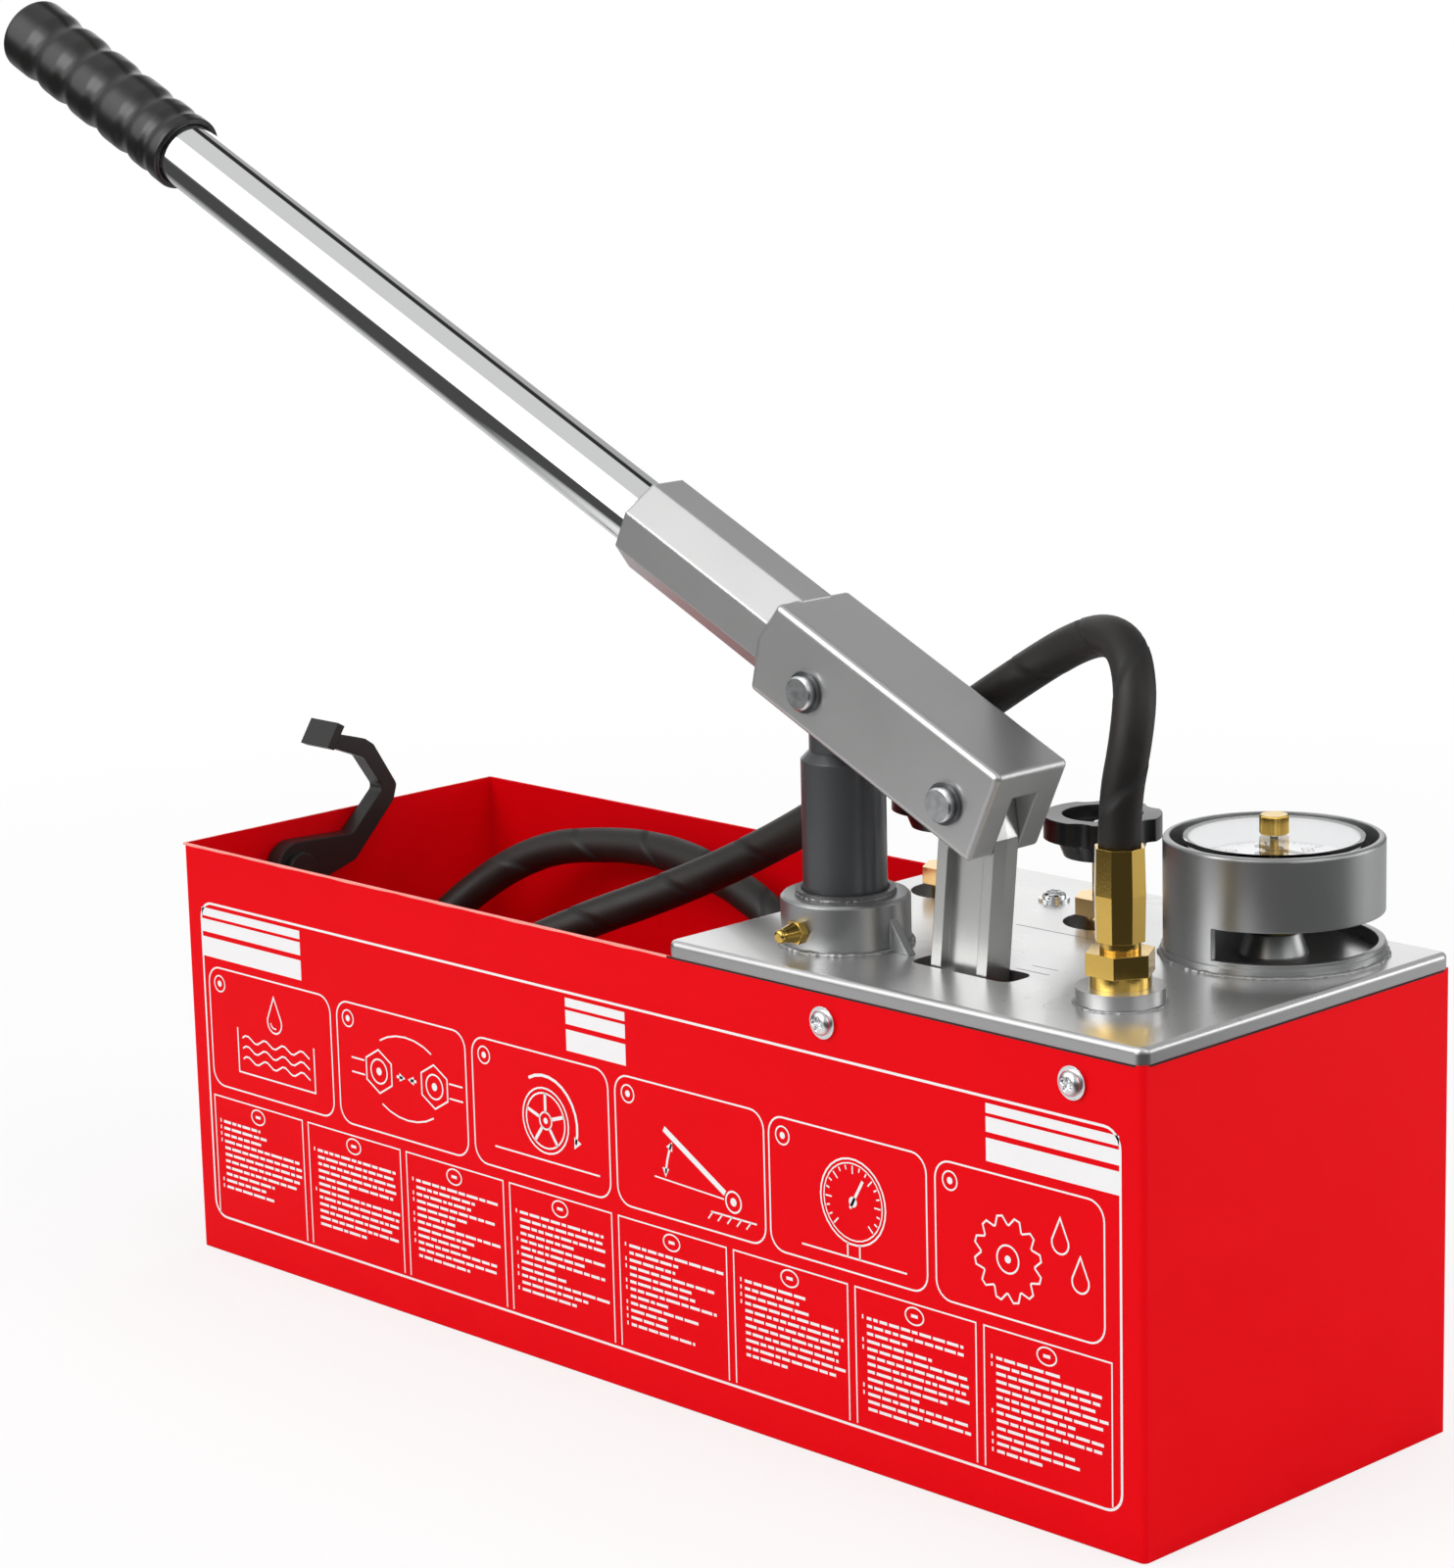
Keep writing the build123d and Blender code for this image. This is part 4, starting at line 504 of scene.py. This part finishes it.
# Print on the tank's front
class Print:
    """Flat shapes on a face, in millimetres across and up. put turns such a place into a point in metres."""

    def __init__(self, put):
        self.put = put
        self.points = []
        self.faces = []

    def patch(self, outline):
        """Filled convex outline, anticlockwise seen from the front."""
        start = len(self.points)
        self.points += [self.put(x, z) for x, z in outline]
        self.faces.append(tuple(range(start, start + len(outline))))

    def bar(self, left, low, right, high):
        self.patch([(left, low), (right, low), (right, high), (left, high)])

    def line(self, points, width, closed=False):
        """Line of even width with mitred corners."""
        count = len(points)
        sides = []
        for i, (x, z) in enumerate(points):
            before = points[i - 1] if closed or i else None
            after = points[(i + 1) % count] if closed or i < count - 1 else None
            normals = []
            for one, two in ((before, (x, z)), ((x, z), after)):
                if one and two:
                    dx, dz = two[0] - one[0], two[1] - one[1]
                    size = hypot(dx, dz)
                    normals.append((-dz / size, dx / size))
            nx = sum(normal[0] for normal in normals)
            nz = sum(normal[1] for normal in normals)
            reach = width / 2 / max(nx * normals[0][0] + nz * normals[0][1], 0.3)
            sides.append(((x + nx * reach, z + nz * reach), (x - nx * reach, z - nz * reach)))
        for i in range(count if closed else count - 1):
            left_one, right_one = sides[i]
            left_two, right_two = sides[(i + 1) % count]
            self.patch([right_one, right_two, left_two, left_one])

    def frame(self, left, low, right, high, round_by, width):
        """Outline of a rectangle with rounded corners."""
        points, steps = [], 6
        corners = ((right - round_by, low + round_by, -90), (right - round_by, high - round_by, 0),
                   (left + round_by, high - round_by, 90), (left + round_by, low + round_by, 180))
        for x, z, start in corners:
            for step in range(steps + 1):
                points.append(around(x, z, round_by, radians(start + 90 * step / steps)))
        self.line(points, width, closed=True)

    def arc(self, x, z, radius, start, end, width, squash=1.0):
        """Arc from one angle to another, in degrees."""
        steps = max(4, int(abs(end - start) / 12))
        full = abs(end - start) >= 360
        count = steps if full else steps + 1
        points = []
        for step in range(count):
            points.append(around(x, z, radius, radians(start + (end - start) * step / steps), squash))
        self.line(points, width, closed=full)

    def disc(self, x, z, radius):
        steps = 20
        self.patch([around(x, z, radius, 2 * pi * step / steps) for step in range(steps)])

    def drop(self, x, z, radius, tip):
        """Outline of a drop round (x, z), with its tip at a height above it."""
        points, steps = [(x, tip)], 12
        for step in range(steps + 1):
            points.append(around(x, z, radius, radians(35 - 250 * step / steps)))
        self.line(points, thin, closed=True)

    def arrow(self, x, z, angle, size):
        """Filled arrowhead with its point at (x, z)."""
        a = radians(angle)
        corners = ((0, 0), (-size, 0.5 * size), (-size, -0.5 * size))
        self.patch([(x + u * cos(a) - v * sin(a), z + u * sin(a) + v * cos(a)) for u, v in corners])


thin, thinner = 0.7, 0.6


def fill_icon(p, x, z):
    """Trough with waves under a falling drop."""
    p.line([(x - 25, z + 2), (x - 25, z - 17), (x + 25, z - 17), (x + 25, z + 2)], thin)
    for level in (-2, -6.5, -11):
        wave = [(x - 22 + 2 * step, z + level + 1.3 * sin(step * pi / 3)) for step in range(23)]
        p.line(wave, thin)
    p.drop(x, z + 8.2, 4.6, z + 19)
    p.arc(x, z + 8.2, 2.6, 190, 290, thinner)


def join_icon(p, x, z):
    """Two hexagonal couplings that meet."""
    for side in (-1, 1):
        centre = x + side * 17
        p.line([around(centre, z, 9, radians(60 * k + 30)) for k in range(6)], thin, closed=True)
        p.arc(centre, z, 5, 0, 360, thin)
        p.disc(centre, z, 1.6)
        for level in (3, -3):
            p.line([(centre + side * 9, z + level), (centre + side * 17, z + level)], thin)
        left, right = sorted((x + side * 2.4, x + side * 6))
        p.bar(left, z - 0.6, right, z + 0.6)
        p.arrow(x + side * 0.8, z, 180 if side > 0 else 0, 3.6)
    for start in (50, 230):
        p.arc(x, z, 24.5, start, start + 80, thin, squash=0.7)


def pump_icon(p, x, z):
    """Handle on a pivot with its swing."""
    pivot = (x + 20, z - 12)
    p.arc(*pivot, 4, 0, 360, thin)
    p.disc(*pivot, 1.6)
    p.line([(x + 8, z - 18), (x + 32, z - 18)], thin)
    for turn, width in ((150, 2.4), (178, thinner)):
        p.line([around(*pivot, 5, radians(turn)), around(*pivot, 42, radians(turn))], width)
    p.arc(*pivot, 36, 154, 174, 1.0)
    for turn, heading in ((176.5, -92), (152.5, 62)):
        p.arrow(*around(*pivot, 36, radians(turn)), heading, 3.6)
    for step in range(5):
        p.line([(x + 9 + 5 * step, z - 18), (x + 6.5 + 5 * step, z - 21)], thinner)


def wheel_icon(p, x, z):
    """Handwheel with a turning arrow."""
    centre = (x, z - 1)
    for radius in (13, 11, 3.4):
        p.arc(*centre, radius, 0, 360, thin)
    p.disc(*centre, 1.2)
    for k in range(5):
        a = radians(72 * k + 90)
        p.line([around(*centre, 3.4, a), around(*centre, 11, a)], 1.4)
    p.arc(*centre, 18, 120, -20, 1.2)
    p.arrow(*around(*centre, 18, radians(-27)), -118, 4.4)
    p.line([(x - 30, z - 17), (x + 30, z - 17)], thin)


def dial_icon(p, x, z):
    """Round scale with a hand on a short stem."""
    centre = (x, z + 1)
    p.arc(*centre, 16, 0, 360, thin)
    p.arc(*centre, 14.4, 0, 360, 0.5)
    for k in range(19):
        a = radians(225 - 15 * k)
        inner = 10.5 if k % 3 == 0 else 12
        p.line([around(*centre, inner, a), around(*centre, 13.6, a)], thinner)
    p.line([around(*centre, -3, radians(60)), around(*centre, 10, radians(60))], 1.2)
    p.disc(*centre, 2)
    for side in (-3, 3):
        p.line([(x + side, z - 14.6), (x + side, z - 20)], thin)
    p.line([(x - 26, z - 20), (x + 26, z - 20)], thin)


def oil_icon(p, x, z):
    """Toothed wheel with two drops beside it."""
    centre = (x - 8, z - 4)
    count, teeth = 12, []
    for k in range(count):
        for share, radius in ((0.0, 12.5), (0.3, 15.5), (0.6, 15.5), (0.9, 12.5)):
            teeth.append(around(*centre, radius, 2 * pi * (k + share) / count))
    p.line(teeth, thin, closed=True)
    p.arc(*centre, 5, 0, 360, thin)
    p.disc(*centre, 1.4)
    for shift, low in ((16, 4), (25, -8)):
        p.drop(x + shift, z + low + 3, 3.8, z + low + 12)


def build_print():
    """Frame, stripes, six panels with plain symbols, and eight columns of bars in place of words."""
    lift = 0.00008
    p = Print(lambda x, z: (x * mm, front_y - lift, z * mm))
    p.frame(-250, 15.5, 250, 151.5, round_by=7, width=1.0)
    for left, right in ((-249.5, -185), (-25, 8), (189.5, 249.5)):
        for low, high in ((145.8, 149.3), (139.0, 144.5), (128.5, 136.9)):
            p.bar(left, low, right, high)
    panels = ((-246.8, -167.4), (-163.2, -84.4), (-80.3, -2.5), (1.4, 80.6), (83.2, 161.1), (165.3, 242.8))
    icons = (fill_icon, join_icon, wheel_icon, pump_icon, dial_icon, oil_icon)
    for (left, right), icon in zip(panels, icons):
        p.frame(left, 73.6, right, 124.6, round_by=7, width=thin)
        p.arc(left + 7, 117.8, 3.4, 0, 360, thinner)
        p.disc(left + 7, 117.8, 1.3)
        icon(p, (left + right) / 2 + 3, 99)
    words = random.Random(4)
    column_pitch, column_width, column_low, column_top = 62.1, 58.3, 17, 68.6
    row_top, row_pitch, text_height, gap = 57.4, 2.85, 1.15, 0.9
    for column in range(8):
        left = -247.2 + column_pitch * column
        right = left + column_width
        p.line([(left, column_low), (left, column_top), (right, column_top), (right, column_low)], thinner)
        p.arc(left + 29, 64, 4.4, 0, 360, thinner, squash=0.72)
        p.bar(left + 27.4, 63.4, left + 30.6, 64.6)
        rows = words.randint(11, 13)
        fresh = True
        for row in range(rows):
            low = row_top - row_pitch * row
            if fresh:
                p.bar(left + 3.2, low, left + 3.9, low + 1.5)
            x = left + 5.6
            last = words.random() < 0.45 or row == rows - 1
            end = right - (words.uniform(14, 34) if last else words.uniform(1.5, 6))
            while x < end:
                size = min(words.uniform(2.2, 7.5), end - x)
                if size > 1:
                    p.bar(x, low, x + size, low + text_height)
                x += size + gap
            fresh = last
    piece("front_print", p.points, p.faces, "print_white")


build_print()


# Gauge scale, labels on the plate, painted highlights on the rim and the lens, and painted shadow under the
# plate
digit_strokes = {
    "0": [[(0, 0), (2, 0), (2, 3), (0, 3), (0, 0)]],
    "1": [[(0.5, 2.4), (1.2, 3), (1.2, 0)]],
    "2": [[(0, 3), (2, 3), (2, 1.5), (0, 1.5), (0, 0), (2, 0)]],
    "3": [[(0, 3), (2, 3), (2, 0), (0, 0)], [(0.5, 1.5), (2, 1.5)]],
    "4": [[(0, 3), (0, 1.2), (2, 1.2)], [(1.5, 3), (1.5, 0)]],
    "5": [[(2, 3), (0, 3), (0, 1.5), (2, 1.5), (2, 0), (0, 0)]],
    "6": [[(2, 3), (0, 3), (0, 0), (2, 0), (2, 1.5), (0, 1.5)]],
}


def build_scale():
    """Ticks from 0 to 60 over three quarters of the dial, with plain numbers, read from the valves' side."""
    lift = 0.00006
    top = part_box("gauge_dial")[1][2] + lift
    slant = (0.5 ** 0.5) * mm
    p = Print(lambda u, v: (gauge_centre[0] - slant * (u + v), gauge_centre[1] + slant * (u - v), top))
    outer, number_radius, digit_pitch, digit_wide, digit_high = 28.2, 19.4, 3.2, 1.2, 1.25
    p.arc(0, 0, outer, 225, -45, 0.4)
    for tick in range(61):
        a = radians(225 - 4.5 * tick)
        inner, width = (23.4, 0.7) if tick % 10 == 0 else (25.0, 0.45) if tick % 5 == 0 else (26.2, 0.3)
        p.line([(inner * cos(a), inner * sin(a)), (outer * cos(a), outer * sin(a))], width)
        if tick % 10:
            continue
        digits = str(tick)
        left, low = number_radius * cos(a) - 1.6 * len(digits) + 0.4, number_radius * sin(a) - 1.9
        for place, digit in enumerate(digits):
            for stroke in digit_strokes[digit]:
                start = left + digit_pitch * place
                p.line([(start + digit_wide * u, low + digit_high * v) for u, v in stroke], 0.55)
    p.arc(0, 0, 30.2, 0, 360, 0.35)
    piece("gauge_scale", p.points, p.faces, "hand_black")


def build_lens_ring():
    """Pale ring inside the lens, between the dial and the clear top, with a small lip at each end. It is a
    painted highlight: white where the clear lens's rim looks lit.
    """
    low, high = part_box("gauge_dial")[1][2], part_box("gauge_lens")[1][2] - 0.0021
    inner = 0.0305
    rows = ((inner - 0.0007, low + 0.0001), (inner - 0.0006, low + 0.0007), (inner, low + 0.0009),
            (inner, high - 0.0006), (inner - 0.0004, high - 0.0004), (inner - 0.0004, high))
    count = 96
    points = []
    for reach, z in rows:
        points += [(*around(*gauge_centre, reach, 2 * pi * step / count), z) for step in range(count)]
    faces = [(b, a, d, c) for a, b, c, d in ring_quads(len(rows), count)]
    piece("lens_rim_highlight", points, faces, "dial_white", smooth=True)


def build_plate_labels():
    """Faint edges of two clear labels, left without their words."""
    lift = 0.00004
    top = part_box("pump_plate")[1][2] + lift
    p = Print(lambda x, y: (x * mm, y * mm, top))
    p.line([(114.5, 15.2), (152.0, 16.0)], 0.35)
    p.line([(157.0, -32.6), (172.7, -32.4)], 0.35)
    p.line([(159.0, -26.0), (171.0, -25.8)], 0.3)
    piece("plate_label_edges", p.points, p.faces, "print_grey")


def build_rim_edge():
    """Thin crowned pale line along the top of the tank's front and left side: a painted highlight on the rim.
    """
    low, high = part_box("tank")
    left, front, back = low[0], low[1], high[1]
    plate_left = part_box("pump_plate")[0][0]
    points, faces = [], []
    runs = (((left, front), (plate_left, front), (0, 1)), ((left, front), (left, back), (1, 0)))
    for (x0, y0), (x1, y1), (inward_x, inward_y) in runs:
        start, steps = len(points), 160
        for step in range(steps + 1):
            share = step / steps
            x, y = x0 + (x1 - x0) * share, y0 + (y1 - y0) * share
            width = 0.00075 + 0.0001 * sin(37.0 * share) + 0.00008 * sin(91.0 * share)
            outline = ((-0.00004, -width), (-0.00009, -0.0002), (0.00003, 0.00008), (width, 0.00004))
            for across, lift in outline:
                points.append((x + across * inward_x, y + across * inward_y, tank_top + lift))
        for step in range(steps):
            for side in range(3):
                corner = start + 4 * step + side
                faces.append((corner, corner + 4, corner + 5, corner + 1))
    piece("painted_rim_highlight", points, faces, "red_edge", smooth=True)


def build_plate_gap():
    """Painted shadow: dark line on the tank right under the plate's edge, along the front and the right end.
    """
    low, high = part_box("tank")
    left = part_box("pump_plate")[0][0]
    out, height, round_by, cut = 0.00012, 0.0007, 0.0035, 0.0011
    corners = (
        (left, low[1] - out), (high[0] - round_by, low[1] - out), (high[0] - cut, low[1] + cut - out),
        (high[0] + out, low[1] + round_by), (high[0] + out, high[1] - 0.004),
    )
    points, faces = [], []
    for x, y in corners:
        points += [(x, y, tank_top - height), (x, y, tank_top)]
    for corner in range(len(corners) - 1):
        faces.append((2 * corner, 2 * corner + 2, 2 * corner + 3, 2 * corner + 1))
    piece("plate_shadow_line", points, faces, "wrap_edge")


build_scale()
build_lens_ring()
build_plate_labels()
build_rim_edge()
build_plate_gap()


# Screw heads, reset knob and weld beads
def press_head(points, faces, place, axis, radius, height, recess, turn):
    """Adds a pan head to a mesh's lists: rings of a dome, pressed in along a cross."""
    out = Vector(axis)
    side = out.orthogonal().normalized()
    over = out.cross(side)
    start, rings, sides = len(points), 26, 72
    arm_half, arm_slope, arm_reach, end_slope = (share * radius for share in (0.17, 0.07, 0.6, 0.12))
    for ring in range(rings + 2):
        share = min(ring / rings, 1.0)
        for step in range(sides):
            angle = 2 * pi * step / sides
            u, v = radius * share * cos(angle), radius * share * sin(angle)
            across, along = u * cos(turn) - v * sin(turn), u * sin(turn) + v * cos(turn)
            narrow, wide = sorted((abs(across), abs(along)))
            inside = min(max((arm_half - narrow) / arm_slope, 0.0), 1.0)
            inside *= min(max((arm_reach - wide) / end_slope, 0.0), 1.0)
            rise = height * (1 - 0.2 * share ** 2 - 0.5 * share ** 7)
            rise -= recess * inside * (1 - 0.9 * wide / radius)
            if ring > rings:
                rise = 0.0
            points.append(tuple(Vector(place) + u * side + v * over + rise * out))
    faces += [(a, d, c, b) for a, b, c, d in ring_quads(rings + 2, sides, start)]


def build_screws():
    """Cross-head screws of the tank and plate, and those in the two knobs."""
    points, faces = [], []
    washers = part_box("screw_washers")
    seats, side_height = [], 0.164
    for x in (0.1122, 0.2293):
        seats.append(((x, washers[0][1], side_height), (0, -1, 0)))
        seats.append(((x, washers[1][1], side_height), (0, 1, 0)))
    seats.append(((0.1, 0.053, washers[1][2]), (0, 0, 1)))
    for number, (place, axis) in enumerate(seats):
        turn = 0.9 + 1.7 * number
        press_head(points, faces, place, axis, radius=0.0046, height=0.0026, recess=0.0016, turn=turn)
    heads = piece("cross_heads", points, faces, "zinc", smooth=True)
    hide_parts("pan_screws")
    for valve in ("release", "shutoff"):
        low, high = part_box(valve + "_knob_screw")
        place = ((low[0] + high[0]) / 2, (low[1] + high[1]) / 2, low[2])
        points, faces = [], []
        radius, height = (high[0] - low[0]) / 2, high[2] - low[2]
        press_head(points, faces, place, (0, 0, 1), radius, height, recess=0.0015, turn=0.4)
        head = piece(valve + "_cross_head", points, faces, "zinc", valve + "_valve", smooth=True)
        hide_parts(valve + "_knob_screw")


def build_reset_knob():
    """Knurled brass knob with a bevelled top."""
    low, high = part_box("reset_knob")
    radius = (high[0] - low[0]) / 2
    ridges, steps, knurl = 30, 4, 0.00035
    # Height, share of the radius and share of the knurl's depth
    rows = (
        (low[2], 0.0, 0.0), (low[2], 0.93, 0.0), (low[2] + 0.0004, 1.0, 1.0), (high[2] - 0.0007, 1.0, 1.0),
        (high[2], 0.9, 0.0), (high[2] - 0.00003, 0.45, 0.0), (high[2], 0.0, 0.0),
    )
    count = ridges * steps
    points = []
    for z, share, depth in rows:
        for step in range(count):
            wave = abs(step % steps - steps / 2) / (steps / 2)
            reach = radius * share - knurl * depth * wave
            points.append((*around(*gauge_centre, reach, 2 * pi * step / count), z))
    faces = list(ring_quads(len(rows), count))
    knob = piece("knurled_knob", points, faces, "brass", "peak_pointer")
    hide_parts("reset_knob")


def bead(name, centre, ring_radius, height, size, paint, seed):
    """Weld bead round an upright piece: a thick line whose thickness and place waver."""
    waver = random.Random(seed)
    phases = [waver.uniform(0, 2 * pi) for _ in range(6)]
    length, row_length = 2 * pi * ring_radius, 0.0005
    rows, sides = int(length / row_length), 10
    points = []
    for row in range(rows + 1):
        share = row / rows
        angle = radians(360 * share)
        way = share * length / mm
        swell = 1 + 0.05 * sin(way * 2.6 + phases[0]) + 0.12 * sin(way * 0.71 + phases[1])
        swell += 0.06 * sin(way * 1.37 + phases[2])
        drift = 0.0002 * sin(way * 0.43 + phases[3]) + 0.00012 * sin(way * 1.9 + phases[4])
        for side in range(sides):
            turn = 2 * pi * side / sides
            thick = size * swell * (1 + 0.05 * sin(3 * turn + way * 0.9 + phases[5]))
            reach = ring_radius + drift + thick * cos(turn)
            points.append((*around(*centre, reach, angle), height + thick * sin(turn)))
    piece(name, points, list(ring_quads(rows + 1, sides)), paint, smooth=True)


build_screws()
build_reset_knob()
plate_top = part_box("pump_plate")[1][2]
collar_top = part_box("cylinder_collar")[1][2]
bead("collar_foot_weld", pump_centre, 0.0242, plate_top + 0.0003, 0.0011, "weld_silver", seed=1)
bead("collar_top_weld", pump_centre, 0.0176, collar_top + 0.0001, 0.0011, "rough_ring", seed=2)
bead("guard_foot_weld", gauge_centre, 0.0405, plate_top + 0.0002, 0.0010, "weld_silver", seed=3)
bead("boss_foot_weld", outlet_centre, 0.016, plate_top + 0.0001, 0.0006, "weld_silver", seed=4)
